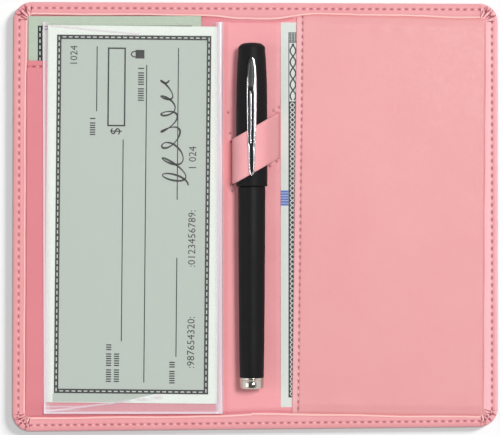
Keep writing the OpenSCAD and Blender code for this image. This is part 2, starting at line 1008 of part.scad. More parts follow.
left_outer_skin();
spine_outer_skin();
right_outer_skin();
left_stiffener();
spine_interlining();
right_stiffener();
left_lining();
spine_lining();
right_lining();
centre_panel();
centre_panel_left_edge();
centre_panel_right_edge();
left_pocket_panel();
right_pocket_panel();
left_border_stitching();
spine_border_stitching();
right_border_stitching();
left_hem_stitching();
right_hem_stitching();
pen_loop();
pen_loop_stitching();
clear_flap();
clear_flap_root();
upper_check_top_leaf();
upper_check_leaves();
upper_check_backing();
upper_check_binding();
lower_check_top_leaf();
lower_check_leaves();
lower_check_backing();
pen_cap();
pen_cap_liner();
pen_clip();
pen_barrel();
pen_grip();
pen_point();
pen_refill();
pen_end_plug();
banknote();
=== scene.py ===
"""A checkbook cover lying open, with checks, a pen and a banknote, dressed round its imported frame.

Shapes are worked out in millimetres, in the frame's own axes, and become meshes in metres.
"""

import math

import bmesh
import bpy
import numpy as np
from mathutils import Matrix, Vector


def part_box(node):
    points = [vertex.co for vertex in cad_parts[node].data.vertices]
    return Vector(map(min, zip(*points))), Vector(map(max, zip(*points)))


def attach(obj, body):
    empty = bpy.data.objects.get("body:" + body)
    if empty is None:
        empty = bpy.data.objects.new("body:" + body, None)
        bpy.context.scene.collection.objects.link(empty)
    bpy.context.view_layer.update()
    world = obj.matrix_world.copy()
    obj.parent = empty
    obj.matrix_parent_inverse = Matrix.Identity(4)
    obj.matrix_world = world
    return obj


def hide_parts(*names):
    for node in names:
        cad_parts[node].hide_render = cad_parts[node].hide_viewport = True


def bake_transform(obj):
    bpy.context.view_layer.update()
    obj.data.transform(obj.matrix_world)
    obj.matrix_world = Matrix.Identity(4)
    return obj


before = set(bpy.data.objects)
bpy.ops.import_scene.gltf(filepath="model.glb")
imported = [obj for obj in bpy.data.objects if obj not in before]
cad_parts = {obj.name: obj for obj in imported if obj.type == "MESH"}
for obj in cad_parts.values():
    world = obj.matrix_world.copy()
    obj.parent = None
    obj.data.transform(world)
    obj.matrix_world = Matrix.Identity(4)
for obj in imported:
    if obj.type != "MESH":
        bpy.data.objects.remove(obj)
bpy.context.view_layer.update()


# The view: a long lens straight above the middle of the open cover, over a plain white floor,
# with one soft lamp at the upper right, a faint one at the left and an even sky. A low lamp that
# reaches the floor alone gives the wide soft shadow along the cover's left and lower edges.
CAMERA_PLACE = (-0.00231, -0.00061, 0.8)
CAMERA_LENS = 141.6
FLOOR_SIZE = 4.0
FLOOR_DROP = 0.0002
FLOOR_GREY = 0.5
FLOOR_LIFT = 0.06
KEY_PLACE = (0.5, 0.36, 1.75)
KEY_SIZE = 0.4
KEY_WATTS = 22.5
SKY_STRENGTH = 0.33
SKY_STOPS = ((0.6, (0.98, 0.98, 1, 1)), (0.9, (0.11, 0.11, 0.11, 1)))
FILL_PLACE = (-0.62, -0.05, 0.62)
FILL_WATTS = 1.1


def tint(red, green, blue):
    """Linear colour of a colour in the 0 to 255 scale, by the usual display curve."""
    share = np.array([red, green, blue]) / 255
    linear = np.where(share <= 0.04045, share / 12.92, ((share + 0.055) / 1.055) ** 2.4)
    return (*linear.tolist(), 1.0)


def connect(tree, made, sockets):
    """Gives each named socket of a shader node a value, or a link from another node's output."""
    for key, value in sockets.items():
        if isinstance(value, bpy.types.NodeSocket):
            tree.links.new(value, made.inputs[key])
        else:
            made.inputs[key].default_value = value


def node(tree, kind, sockets, **settings):
    """Adds one shader node, sets what it is to do, and gives its sockets values or links."""
    made = tree.nodes.new("ShaderNode" + kind)
    for key, value in settings.items():
        setattr(made, key, value)
    connect(tree, made, sockets)
    return made


def new_material(name):
    """A material, its node tree, and the Object coordinates that its textures lie on."""
    material = bpy.data.materials.new(name)
    material.use_nodes = True
    tree = material.node_tree
    return material, tree, node(tree, "TexCoord", {}).outputs["Object"]


def set_surface(material, sockets, bump=None):
    """Fills a material's shader, with a bump from a height, a strength and a distance."""
    tree = material.node_tree
    shader = tree.nodes["Principled BSDF"]
    connect(tree, shader, sockets)
    if bump:
        made = node(tree, "Bump", {"Height": bump[0], "Strength": bump[1], "Distance": bump[2]})
        tree.links.new(made.outputs[0], shader.inputs["Normal"])
    return material


def seen_directly(tree):
    """1 for rays from the camera, from a mirror or through glass, and 0 for rays that light."""
    path = node(tree, "LightPath", {})
    either = node(tree, "Math", {
        0: path.outputs["Is Camera Ray"], 1: path.outputs["Is Glossy Ray"]}, operation="MAXIMUM")
    return node(tree, "Math", {
        0: either.outputs[0], 1: path.outputs["Is Transmission Ray"]}, operation="MAXIMUM").outputs[0]


camera = bpy.data.objects.new("camera", bpy.data.cameras.new("camera"))
camera.data.lens = CAMERA_LENS
camera.data.clip_end = 10
camera.location = CAMERA_PLACE
bpy.context.scene.collection.objects.link(camera)
bpy.context.scene.camera = camera
bpy.context.scene.view_settings.view_transform = "Standard"

floor_mesh = bpy.data.meshes.new("floor")
reach = FLOOR_SIZE / 2
floor_mesh.from_pydata(
    [(x * reach, y * reach, -FLOOR_DROP) for x, y in ((-1, -1), (1, -1), (1, 1), (-1, 1))],
    [], [(0, 1, 2, 3)])
floor_paint, floor_tree, _ = new_material("white_floor")
lift = node(floor_tree, "Math", {0: seen_directly(floor_tree), 1: FLOOR_LIFT}, operation="MULTIPLY")
set_surface(floor_paint, {
    "Base Color": (FLOOR_GREY, FLOOR_GREY, FLOOR_GREY, 1), "Roughness": 0.9,
    "Specular IOR Level": 0.1, "Emission Color": (1, 1, 1, 1),
    "Emission Strength": lift.outputs[0]})
floor_mesh.materials.append(floor_paint)
floor = bpy.data.objects.new("floor", floor_mesh)
bpy.context.scene.collection.objects.link(floor)


def add_lamp(name, kind, place, **settings):
    """A lamp of some kind at a place, facing the middle of the cover."""
    lamp = bpy.data.objects.new(name, bpy.data.lights.new(name, kind))
    for key, value in settings.items():
        setattr(lamp.data, key, value)
    shift = Matrix.Translation(place)
    lamp.matrix_world = shift @ (-Vector(place)).to_track_quat("-Z", "Y").to_matrix().to_4x4()
    bpy.context.scene.collection.objects.link(lamp)
    return lamp


add_lamp("key_lamp", "AREA", KEY_PLACE, size=KEY_SIZE, energy=KEY_WATTS)
add_lamp("fill_lamp", "AREA", FILL_PLACE, size=KEY_SIZE, energy=FILL_WATTS)
floor_lamp = add_lamp("floor_lamp", "SUN", (0.92, 0.62, 0.42), energy=7.2, angle=math.radians(14))
lit_by_it = bpy.data.collections.new("lit_by_floor_lamp")
lit_by_it.objects.link(floor)
floor_lamp.light_linking.receiver_collection = lit_by_it

sky = bpy.data.worlds.new("sky")
bpy.context.scene.world = sky
sky.use_nodes = True
sky_tree = sky.node_tree
sky_tree.nodes.remove(sky_tree.nodes["Background"])
sky_way = node(sky_tree, "TexCoord", {}).outputs["Generated"]
sky_height = node(sky_tree, "SeparateXYZ", {0: sky_way}).outputs["Z"]
sky_tint = node(sky_tree, "ValToRGB", {0: sky_height})
for stop, (position, colour) in zip(sky_tint.color_ramp.elements, SKY_STOPS):
    stop.position = position
    stop.color = colour
sky_light = node(sky_tree, "Background", {"Color": (1, 1, 1, 1), "Strength": SKY_STRENGTH})
sky_seen = node(sky_tree, "Background", {"Color": sky_tint.outputs[0], "Strength": 1.0})
sky_mix = node(sky_tree, "MixShader", {
    0: seen_directly(sky_tree), 1: sky_light.outputs[0], 2: sky_seen.outputs[0]})
sky_tree.links.new(sky_mix.outputs[0], sky_tree.nodes["World Output"].inputs["Surface"])


# Outer skin: one sheet of pink coated leather. Its edge is turned over onto the inside all
# round, sewn down through every layer, gathered in pleats at the corners, and left raw.
LEATHER = tint(238, 165, 168)
LEATHER_DEEP = tint(226, 138, 146)
# Painted shade for needle holes, the stitch groove, the pleat slits and the gaps under the raw edge.
LEATHER_SHADE = tint(150, 58, 70)
# The raw cut edge's pale colour, also painted on the crumpled corners as highlight.
LEATHER_CUT_AND_HIGHLIGHT = tint(255, 208, 200)
# A paler pink for the raised rim, partly rubbing and partly painted sheen.
LEATHER_WEAR_AND_SHEEN = tint(252, 206, 212)
CORNER_R = 7.5
SKIN_T = 0.8
STITCH_INSET = 2.5
STITCH_PITCH = 2.97
STATIONS_A_STITCH = 8
CORNER_STITCHES = 3
CORNER_STATIONS = 72
FLANGE_FLOOR = 1.6
# The border's section in the order it is swept: insets of the outer face, insets of the turned
# edge as far as the stitches, shares of its width beyond them, the rounded raw edge as steps out
# and up or down, and the inside of the fold as insets and heights.
UNDER_INSETS = (6.9, 5.6, 4.4, 3.4, 3.0, 2.75, 2.5, 2.25, 2.0, 1.6)
FACE_INSETS = (1.5, 1.8, 2.0, 2.15, 2.3, 2.42, 2.5, 2.58, 2.7, 2.85, 3.0, 3.3)
FLANGE_SHARES = (0.2, 0.4, 0.6, 0.75, 0.88, 1.0)
RAW_CREST = ((-0.18, 0.01), (-0.05, 0.035), (0.12, 0.03), (0.25, -0.04))
RAW_FALL = ((0.36, 0.16), (0.55, 0.42))
FOLD_INSIDE = ((3.2, FLANGE_FLOOR), (1.2, FLANGE_FLOOR), (0.9, 1.45), (SKIN_T, 1.2),
               (0.9, 0.9), (1.2, SKIN_T), (UNDER_INSETS[0], SKIN_T))
CREASES = (-12.5, 9.9)
CREASE_REACH = 2.0
SIDE_TURN_Y = (-80, 0, 58, 64.5, 80)
LEFT_TURN = (4.9, 4.95, 4.95, 5.5, 5.55)
RIGHT_TURN = (5.6, 5.2, 4.8, 4.75, 4.65)
TOP_TURN_X = (-90, -40, -25, -16, -9, 8, 14, 22, 50, 62, 80, 92)
TOP_TURN = (4.9, 5.0, 5.1, 5.4, 6.5, 6.5, 5.6, 4.4, 4.8, 5.05, 5.7, 5.6)
BOTTOM_TURN_X = (-90, -60, -20, -13, 0, 16, 34, 60, 92)
BOTTOM_TURN = (5.3, 5.4, 5.4, 5.4, 6.3, 6.0, 5.5, 4.7, 4.2)
PLEATS = ((5, 0.7, 2.0, 2), (16, 1.0, 2.6, -2), (27, 0.85, 2.1, 3), (38, 1.05, 2.8, -2),
          (50, 0.9, 2.3, 2), (61, 1.05, 2.7, -2), (73, 0.9, 2.1, 3), (84, 0.75, 2.0, -2))
# How much paler the rim is drawn: painted sheen along the right side and along the top edge, rubbing at
# the corners.
SIDE_SHEEN = 0.55
TOP_SHEEN = 0.12
CORNER_WEAR = 0.35
DOME = 0.46
LEFT_TALLER = (0.18, 0.75)
RIGHT_SHORTER = (0.6, 1.2)
WIDER = 0.2
FOOT_OUT = 0.5


def box_mm(*nodes):
    """Lowest and highest corner, in millimetres, of the box round some CAD nodes at rest."""
    corners = np.array([[list(corner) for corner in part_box(name)] for name in nodes]) * 1000
    return corners[:, 0].min(axis=0), corners[:, 1].max(axis=0)


def smooth_step(value, start, end):
    """0 before start, 1 after end, and an S-shaped rise between them."""
    share = np.clip((value - start) / (end - start), 0, 1)
    return share * share * (3 - 2 * share)


def bell(value, middle, width):
    """1 at the middle and falling off as a Gauss curve, to a third at one width."""
    return np.exp(-(((value - middle) / width) ** 2))


def noise(tree, place, scale, detail, roughness):
    """Cloud noise from 0 to 1 over a place."""
    return node(tree, "TexNoise", {
        "Vector": place, "Scale": scale, "Detail": detail, "Roughness": roughness}).outputs["Fac"]


def spread(tree, value, low, high, start, end):
    """A value between low and high, laid over start to end."""
    return node(tree, "MapRange", {0: value, 1: low, 2: high, 3: start, 4: end}).outputs[0]


def mix(tree, share, colour, other):
    """A colour blended into another one by a share."""
    return node(tree, "Mix", {0: share, 6: colour, 7: other}, data_type="RGBA").outputs[2]


def attribute(tree, name):
    """The value that a piece's points carry under a name, and 0 where it has none."""
    return node(tree, "Attribute", {}, attribute_name=name).outputs["Fac"]


def leather(name, colour, deep, grain=1.0, gloss=0.5):
    """Coated leather: cloudy colour, fine pebble grain, painted shade in pressed places, and paler
    places that are partly rubbing and partly painted sheen.
    """
    material, tree, place = new_material(name)
    cloud = noise(tree, place, 38, 3, 0.55)
    spots = noise(tree, place, 700, 4, 0.6)
    wrinkle = noise(tree, place, 1500, 3, 0.7)
    pebble = node(tree, "TexVoronoi", {"Vector": place, "Scale": 2100, "Randomness": 1.0},
                  feature="SMOOTH_F1").outputs["Distance"]
    height = node(tree, "Math", {0: pebble, 1: wrinkle}, operation="ADD").outputs[0]
    cloudy = mix(tree, spread(tree, cloud, 0.3, 0.75, 0.0, 0.32), colour, deep)
    speckled = mix(tree, spread(tree, spots, 0.35, 0.7, 0.0, 0.1), cloudy, deep)
    dented = mix(tree, attribute(tree, "dent"), speckled, LEATHER_SHADE)
    return set_surface(material, {
        "Base Color": mix(tree, attribute(tree, "wear"), dented, LEATHER_WEAR_AND_SHEEN),
        "Roughness": spread(tree, spots, 0.3, 0.7, gloss - 0.05, gloss + 0.09),
        "Specular IOR Level": 0.32, "Sheen Weight": 0.06}, bump=(height, 0.28 * grain, 0.00006))


def make(name, points, faces, materials, which=None, smooth=True, **attributes):
    """A mesh in metres from points in millimetres, its doubles merged and its faces turned outwards."""
    mesh = bpy.data.meshes.new(name)
    mesh.from_pydata((np.asarray(points) / 1000).tolist(), [], [list(map(int, f)) for f in faces])
    for material in materials:
        mesh.materials.append(material)
    if which is not None:
        mesh.polygons.foreach_set("material_index", np.asarray(which, np.int32))
    for key, values in attributes.items():
        mesh.attributes.new(key, "FLOAT", "POINT").data.foreach_set(
            "value", np.asarray(values, np.float32).ravel())
    work = bmesh.new()
    work.from_mesh(mesh)
    bmesh.ops.remove_doubles(work, verts=work.verts, dist=1e-6)
    bmesh.ops.holes_fill(work, edges=[e for e in work.edges if e.is_boundary], sides=0)
    bmesh.ops.recalc_face_normals(work, faces=work.faces)
    work.to_mesh(mesh)
    work.free()
    mesh.polygons.foreach_set("use_smooth", np.full(len(mesh.polygons), smooth))
    mesh.set_sharp_from_angle(angle=math.radians(50))
    made = bpy.data.objects.new(name, mesh)
    bpy.context.scene.collection.objects.link(made)
    return made


def grid_faces(rows, columns, first=0):
    """Four-cornered faces over a grid of points numbered row by row."""
    index = np.arange(rows * columns).reshape(rows, columns) + first
    corners = (index[:-1, :-1], index[1:, :-1], index[1:, 1:], index[:-1, 1:])
    return np.stack(corners, axis=-1).reshape(-1, 4)


skin_high = box_mm("left_outer_skin", "right_outer_skin")[1]
HALF_W, HALF_H = skin_high[:2]
FACE = skin_high[2]
RIM = FACE / 2
CUT = sum(CREASES) / 2 - 0.05
board_low, board_high = box_mm("left_stiffener", "right_stiffener")
BOARD_GAPS = (box_mm("left_stiffener")[1][0], box_mm("right_stiffener")[0][0])
PAD_EDGE = -box_mm("lower_check_backing")[0][0]


def side_turn(x, y):
    """Width of the turned edge on the left or right side at a height y."""
    return np.where(x < 0, np.interp(y, SIDE_TURN_Y, LEFT_TURN), np.interp(y, SIDE_TURN_Y, RIGHT_TURN))


def end_turn(x, y):
    """Width of the turned edge along the top, or along the bottom where y is below nought."""
    return np.where(y > 0, np.interp(x, TOP_TURN_X, TOP_TURN), np.interp(x, BOTTOM_TURN_X, BOTTOM_TURN))


def tapered(points):
    """The cover as sewn: a little taller at its left end than at its right, its left foot out."""
    points = np.array(points, float)
    share = (points[..., 0] + HALF_W) / (2 * HALF_W)
    top = LEFT_TALLER[0] - (LEFT_TALLER[0] + RIGHT_SHORTER[0]) * share
    bottom = LEFT_TALLER[1] - (LEFT_TALLER[1] + RIGHT_SHORTER[1]) * share
    foot = (HALF_H - points[..., 1]) / (2 * HALF_H)
    points[..., 0] += WIDER * (2 * share - 1) - FOOT_OUT * (1 - share) ** 2 * foot
    points[..., 1] *= 1 + np.where(points[..., 1] > 0, top, bottom) / HALF_H
    return points


def border_stations(side):
    """Stations along half the border, from the cut along the bottom, the side and the top.

    A point of the border stands at anchor + (CORNER_R - inset) * facing: the anchor runs along
    a rectangle CORNER_R inside the edge, and the facing turns a quarter circle at each corner.
    """
    x_end, y_end = side * (HALF_W - CORNER_R), HALF_H - CORNER_R
    parts = []
    for start, end, facing in (
        ((CUT, -y_end), (x_end, -y_end), (0, -1)),
        ((x_end, -y_end), (x_end, y_end), (side, 0)),
        ((x_end, y_end), (CUT, y_end), (0, 1)),
    ):
        stitches = round(math.dist(start, end) / STITCH_PITCH)
        along = np.linspace(0, 1, stitches * STATIONS_A_STITCH + 1)[:, None]
        anchor = np.array(start) + along * (np.array(end) - np.array(start))
        phase = (along[:, 0] * stitches) % 1
        parts.append((anchor, np.tile(facing, (len(along), 1)), phase, np.full(len(along), -1.0)))
        if facing == (0, 1):
            break
        quarter = np.linspace(0, 1, CORNER_STATIONS + 1)[1:-1]
        turn = quarter * math.pi / 2
        if facing[1] < 0:
            round_facing = np.stack([side * np.sin(turn), -np.cos(turn)], axis=1)
        else:
            round_facing = np.stack([side * np.cos(turn), np.sin(turn)], axis=1)
        phase = (quarter * CORNER_STITCHES) % 1
        parts.append((np.tile(end, (len(turn), 1)), round_facing, phase, quarter * 90))
    return [np.concatenate(column) for column in zip(*parts)], [len(part[0]) for part in parts]


def stitch_hole(phase):
    """1 where two stitches meet in a needle hole and 0 in the middle of a stitch."""
    return bell(np.minimum(phase, 1 - phase), 0, 0.24)


def between(value, rise, fall):
    """1 between an S-shaped rise and a fall, the fall given on the value's negative."""
    return smooth_step(value, *rise) * smooth_step(-value, *fall)


def under_relief(x, y):
    """How far the outer face lies above the floor: at the two creases, and off the boards."""
    creases = sum(0.3 * bell(x, crease, 0.9) for crease in CREASES)
    (left, bottom), (right, top) = board_low[:2], board_high[:2]
    left_end, right_start = BOARD_GAPS
    on_left = between(x, (left - 1, left + 1), (-left_end - 1, -left_end))
    on_right = between(x, (right_start, right_start + 1), (-right - 1, -right + 1))
    on_rows = between(y, (bottom - 1, bottom + 1), (-top - 1, -top + 1))
    return creases + 0.12 * (1 - (on_left + on_right) * on_rows)


def bend_at(piece):
    """Bakes a piece's placement into its mesh, and leaves it on no body."""
    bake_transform(piece)


def outer_skin(name, side, crease, materials):
    """Half of the skin: a border section swept along the stations, and a plate above and below."""
    (anchor, facing, phase, corner), lengths = border_stations(side)
    count = len(anchor)
    step = np.arange(count) * STITCH_PITCH / STATIONS_A_STITCH
    width = facing[:, 0] ** 2 * side_turn(*anchor.T) + facing[:, 1] ** 2 * end_turn(*anchor.T)
    width = width + 0.1 * np.sin(step / 6.1 + side) + 0.05 * np.sin(step / 1.7 + 2)
    reach = 10
    padded = np.pad(width, reach, mode="edge")
    width = np.convolve(padded, np.full(2 * reach + 1, 1 / (2 * reach + 1)), mode="valid")
    lot = 2 * side + np.sign(anchor[:, 1])

    def folds(inset):
        """Depth of the corner's pleats at an inset: slanting slits that open inwards from the rim."""
        depth = np.zeros(count)
        for k, (angle, deep, wide, slant) in enumerate(PLEATS):
            middle = angle + 3.5 * np.sin(2.3 * k + 1.7 * lot) + slant * (inset - 3)
            depth += deep * (0.95 + 0.2 * np.sin(3.1 * k + lot)) * bell(corner, middle, wide)
        crumple = 0.22 * np.sin(corner / 1.7 + 2.6 * inset + lot) * smooth_step(inset, 3, 4.2)
        swell = 0.2 * np.abs(np.sin(corner / 4.9 + lot))
        return np.where(corner >= 0, (depth + crumple - swell) * smooth_step(inset, 0.4, 2.0), 0)

    ragged = 0.45 + 0.35 * np.sin(corner / 2.7 + side) - 0.4 * folds(3.4)
    width = width + np.where(corner >= 0, ragged * bell(corner, 45, 42), 0)
    hole = stitch_hole(phase)
    half_turn = np.linspace(-90, 90, 9) * math.pi / 180
    rows = []

    def row(inset, height, dent=0.0, cut=False, pale=False):
        """One line of the section. Over the lower pad's way out it stays below the pad."""
        from_middle = np.abs(anchor[:, 0] + (CORNER_R - inset) * facing[:, 0])
        lid = FACE + 0.035 + 0.5 * smooth_step(from_middle, PAD_EDGE + 0.1, PAD_EDGE + 1.4)
        rows.append((np.broadcast_to(inset, count), np.broadcast_to(np.minimum(height, lid), count),
                     np.broadcast_to(dent, count), cut, pale))

    # Each row also carries painted shade: in the needle holes and stitch groove, in the corners' pleat
    # slits, and in the gap under the raw edge.
    for inset in UNDER_INSETS:
        point = anchor + (CORNER_R - inset) * facing
        groove = bell(inset, STITCH_INSET, 0.45)
        relief = under_relief(*point.T) * smooth_step(inset, RIM, 3)
        row(inset, relief + groove * (0.1 + 0.2 * (1 - hole)), groove * 0.6 * (1 - hole))
    for turn in half_turn:
        inset, height = RIM * (1 - math.cos(turn)), RIM * (1 + math.sin(turn))
        sunk = DOME * (1 - inset / 3.6) ** 2 * height / FACE
        row(inset + 0.15 * folds(1.2), height - sunk, np.clip(folds(1.2), 0, 0.6) * (turn > 0.3))
    for inset in FACE_INSETS:
        groove = bell(inset, STITCH_INSET, 0.4)
        height = FACE + 0.02 - DOME * (1 - inset / 3.6) ** 2
        height = height - groove * (0.12 + 0.24 * hole) - folds(inset)
        height = height + 0.05 * bell(inset, 1.7, 0.5) * (1 - 2 * hole)
        row(inset, np.maximum(height, FLANGE_FLOOR + 0.04),
            np.clip(groove * 0.9 * hole + folds(inset) * 1.1, 0, 1))
    for share in FLANGE_SHARES:
        inset = FACE_INSETS[-1] + (width - 0.3 - FACE_INSETS[-1]) * share
        height = FACE + 0.02 - 0.06 * math.sin(share * math.pi) - folds(inset)
        groove = 0.12 * bell(share, 0.82, 0.1)
        row(inset, np.maximum(height - groove, FLANGE_FLOOR + 0.04),
            np.clip((folds(inset) - 0.2) * 1.2, 0, 1) + 1.2 * groove, cut=share > 0.9, pale=share > 0.2)
    for out, rise in RAW_CREST:
        row(width + out, np.maximum(FACE + rise - 0.5 * folds(width), FLANGE_FLOOR + 0.04),
            np.clip(folds(width) - 0.5, 0, 0.6), cut=True)
    for out, drop in RAW_FALL:
        row(width + out, np.maximum(FACE - drop - folds(width), FLANGE_FLOOR + 0.03), 0.05)
    row(width + 0.6, FLANGE_FLOOR, 0.5)
    for inset, height in FOLD_INSIDE:
        row(inset, height, 0.3)
    inset, height, dent = (np.stack([r[k] for r in rows], axis=1) for k in range(3))
    section = len(rows)
    border = np.empty((count, section, 3))
    border[..., :2] = anchor[:, None] + (CORNER_R - inset)[..., None] * facing[:, None]
    border[..., 2] = height
    faces = grid_faces(count, section).tolist()
    cut_rows = np.array([r[3] for r in rows])
    pale_rows = np.array([r[4] for r in rows])
    at_corner = (corner[:-1] > 12) & (corner[:-1] < 78)
    # The raw edge gets the pale cut colour except along the right side, where it faces away from the
    # key lamp and keeps the skin's pink as painted shade; at the corners the whole flange gets it, a
    # painted highlight on the crumpled pleats.
    cut_off_shaded_side = cut_rows[None, :-1] & (facing[:-1, :1] < 0.98)
    which = (cut_off_shaded_side | (pale_rows[None, :-1] & at_corner[:, None])).astype(int).ravel().tolist()

    ends = np.cumsum([0] + lengths)
    near = np.abs(anchor[:, 0] - crease) < CREASE_REACH + 1

    def marks(part):
        """Stations of a straight part where a line of the plate starts: closer at the crease."""
        index = np.arange(ends[part], ends[part + 1])
        cell = (index - ends[part]) % STATIONS_A_STITCH == 0
        return index[cell | (near[index] & ((index - ends[part]) % 2 == 0))]

    low_marks, side_marks, top_marks = marks(0), marks(2), marks(4)
    across, along = anchor[low_marks, 0], anchor[side_marks, 1]
    points, dents = [border.reshape(-1, 3)], [dent.ravel()]
    first = count * section
    for level, edge_row in ((0, 0), (1, section - 1)):
        x, y = np.meshgrid(across, along, indexing="ij")
        z = np.full_like(x, SKIN_T) if level else under_relief(x, y)
        points.append(np.stack([x, y, z], axis=-1).reshape(-1, 3))
        dents.append(np.zeros(x.size))
        faces += grid_faces(*x.shape, first).tolist()
        plate = np.arange(x.size).reshape(x.shape) + first
        rim = [station * section + edge_row for station in range(count)]
        for line, corners in (
            (low_marks, plate[:, 0]), (side_marks, plate[-1]), (top_marks, plate[::-1, -1]),
        ):
            faces += [
                rim[a:b + 1] + [corners[k + 1], corners[k]]
                for k, (a, b) in enumerate(zip(line[:-1], line[1:]))
            ]
        for start, end, corner_point in (
            (ends[1] - 1, ends[2], plate[-1, 0]), (ends[3] - 1, ends[4], plate[-1, -1]),
        ):
            faces += [[rim[k], rim[k + 1], corner_point] for k in range(start, end)]
        first += x.size
    which += [0] * (len(faces) - len(which))
    # Paler colour on the raised rim: rubbing at the corners, and painted sheen along the right side and
    # the top edge, where they face the key lamp.
    wear = np.zeros(sum(len(part) for part in points))
    rubbed = (inset < 6) & (height > RIM) & (dent < 0.2)
    off_stitches = 1 - smooth_step(inset, 0.9, 1.5) + smooth_step(inset, 2.6, 2.9)
    sheen_and_wear = SIDE_SHEEN * np.clip(facing[:, :1], 0, 1) * off_stitches
    sheen_and_wear = sheen_and_wear + TOP_SHEEN * np.clip(facing[:, 1:], 0, 1) * (1 - smooth_step(inset, 0.3, 1.6))
    sheen_and_wear = sheen_and_wear + CORNER_WEAR * (corner[:, None] >= 0) * smooth_step(inset, 1.2, 2.2)
    wear[:sheen_and_wear.size] = (rubbed * sheen_and_wear).ravel()
    skin = make(name, tapered(np.concatenate(points)), faces, materials, which,
                dent=np.concatenate(dents), wear=wear)
    bend_at(skin)
    return skin


skin_leather = leather("pink_coated_leather", LEATHER, LEATHER_DEEP)
cut_edge_and_highlight_leather = leather("cut_edge_and_corner_highlight", LEATHER_CUT_AND_HIGHLIGHT, tint(246, 178, 176), grain=2.0, gloss=0.7)
left_skin = outer_skin(
    "outer_skin_left", -1, CREASES[0], [skin_leather, cut_edge_and_highlight_leather])
right_skin = outer_skin(
    "outer_skin_right", 1, CREASES[1], [skin_leather, cut_edge_and_highlight_leather])
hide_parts("left_outer_skin", "spine_outer_skin")
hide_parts("right_outer_skin")


# Inner layers: greyboard in each half and soft fleece in the spine, glued under a lining of thin
# deep pink leather. Only the lining shows, at the top of the left half, above the pocket.
LINING = tint(226, 140, 150)
LINING_DEEP = tint(208, 116, 128)
LINING_T = 0.4
LINING_R = 6.6
LINING_EDGE = (4.5, 7.5)
GREYBOARD = tint(160, 152, 140)
FLEECE = tint(228, 226, 218)


def fibrous(name, colour, dark, scale):
    """Pressed fibre: a cloudy colour with short stretched flecks and a felted bump."""
    material, tree, place = new_material(name)
    stretched = node(tree, "Mapping", {"Vector": place, "Scale": (1, 0.35, 1)}).outputs[0]
    fleck = noise(tree, stretched, scale, 5, 0.7)
    return set_surface(material, {
        "Base Color": mix(tree, spread(tree, fleck, 0.42, 0.68, 0.0, 0.5), colour, dark),
        "Roughness": 0.85, "Specular IOR Level": 0.25}, bump=(fleck, 0.3, 0.00005))


def dress(material, *names):
    """Gives CAD nodes a finish in place of their plain one."""
    for name in names:
        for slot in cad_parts[name].material_slots:
            slot.material = material


dress(fibrous("greyboard", GREYBOARD, tint(120, 112, 102), 900), "left_stiffener", "right_stiffener")
dress(fibrous("fleece", FLEECE, tint(205, 202, 192), 1400), "spine_interlining")


def shell(x, y, low, high):
    """Points and faces of a closed layer over a grid: its top, its bottom and a wall round the rim."""
    rows, columns = x.shape
    index = np.arange(x.size).reshape(rows, columns)
    rim = np.concatenate([index[:-1, 0], index[-1, :-1], index[:0:-1, -1], index[0, :0:-1]])
    after = np.roll(rim, -1)
    wall = np.stack([rim, after, after + x.size, rim + x.size], axis=1)
    points = np.concatenate([np.stack([x, y, z], axis=-1).reshape(-1, 3) for z in (high, low)])
    top = grid_faces(rows, columns)
    return points, np.concatenate([top, top + x.size, wall])


def ruled(*spans):
    """Grid lines over spans, each given as its start, its end and how many steps it takes."""
    lines = [np.linspace(start, end, steps + 1) for start, end, steps in spans]
    return np.unique(np.round(np.concatenate(lines), 4))


lining_leather = leather("lining_leather", LINING, LINING_DEEP, gloss=0.5)
for half_name, body in (("left", "left_cover"), ("spine", "spine"), ("right", "right_cover")):
    low, high = box_mm(half_name + "_lining")
    share, y = np.meshgrid(
        np.linspace(0, 1, 80),
        ruled((low[1], low[1] + 8, 40), (low[1] + 8, high[1] - 8, 90), (high[1] - 8, high[1], 40)),
        indexing="ij")
    into_corner = np.clip(np.abs(y) - (high[1] - LINING_R), 0, LINING_R)
    trim = LINING_R - np.sqrt(LINING_R**2 - into_corner**2)
    x_start = low[0] + trim * (half_name == "left")
    x_end = high[0] - trim * (half_name == "right")
    x = x_start + share * (x_end - x_start)
    inside = smooth_step(HALF_H - np.abs(y), LINING_EDGE[0], LINING_EDGE[1]) * smooth_step(
        HALF_W - np.abs(x), LINING_EDGE[0] - 1, LINING_EDGE[1] - 1)
    top = low[2] + LINING_T + (high[2] - low[2] - LINING_T) * inside
    points, faces = shell(x, y, top - LINING_T, top)
    lining = make(half_name + "_lining_sheet", tapered(points), faces, [lining_leather])
    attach(lining, body)
    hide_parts(half_name + "_lining")


# Centre panel: a lighter pink sheet over the spine, glued down, its ends under the turned edge.
# The strap of the pen loop comes up through two slits, with needle holes beside them.
PANEL_PINK = tint(245, 164, 168)
PANEL_DEEP = tint(226, 142, 150)
PANEL_T = 0.4
PANEL_TUCK = 2.4
SLITS = (-9.15, 8.95)
STRAP_W = 18.3
STRAP_LEFT = -9.6
STRAP_RISE = math.tan(math.radians(30))
NEEDLE_HOLES = (
    (-11.2, 42.0), (-9.9, 30.3), (-10.3, 33.6), (-9.6, 12.6), (-9.3, 10.2),
    (7.3, 42.9), (9.3, 44.2), (5.6, 20.3), (8.4, 22.2))


def strap_middle(x):
    """Y of the strap's middle line: it leans up to the right at thirty degrees."""
    return 21.9 + (x - STRAP_LEFT) * STRAP_RISE


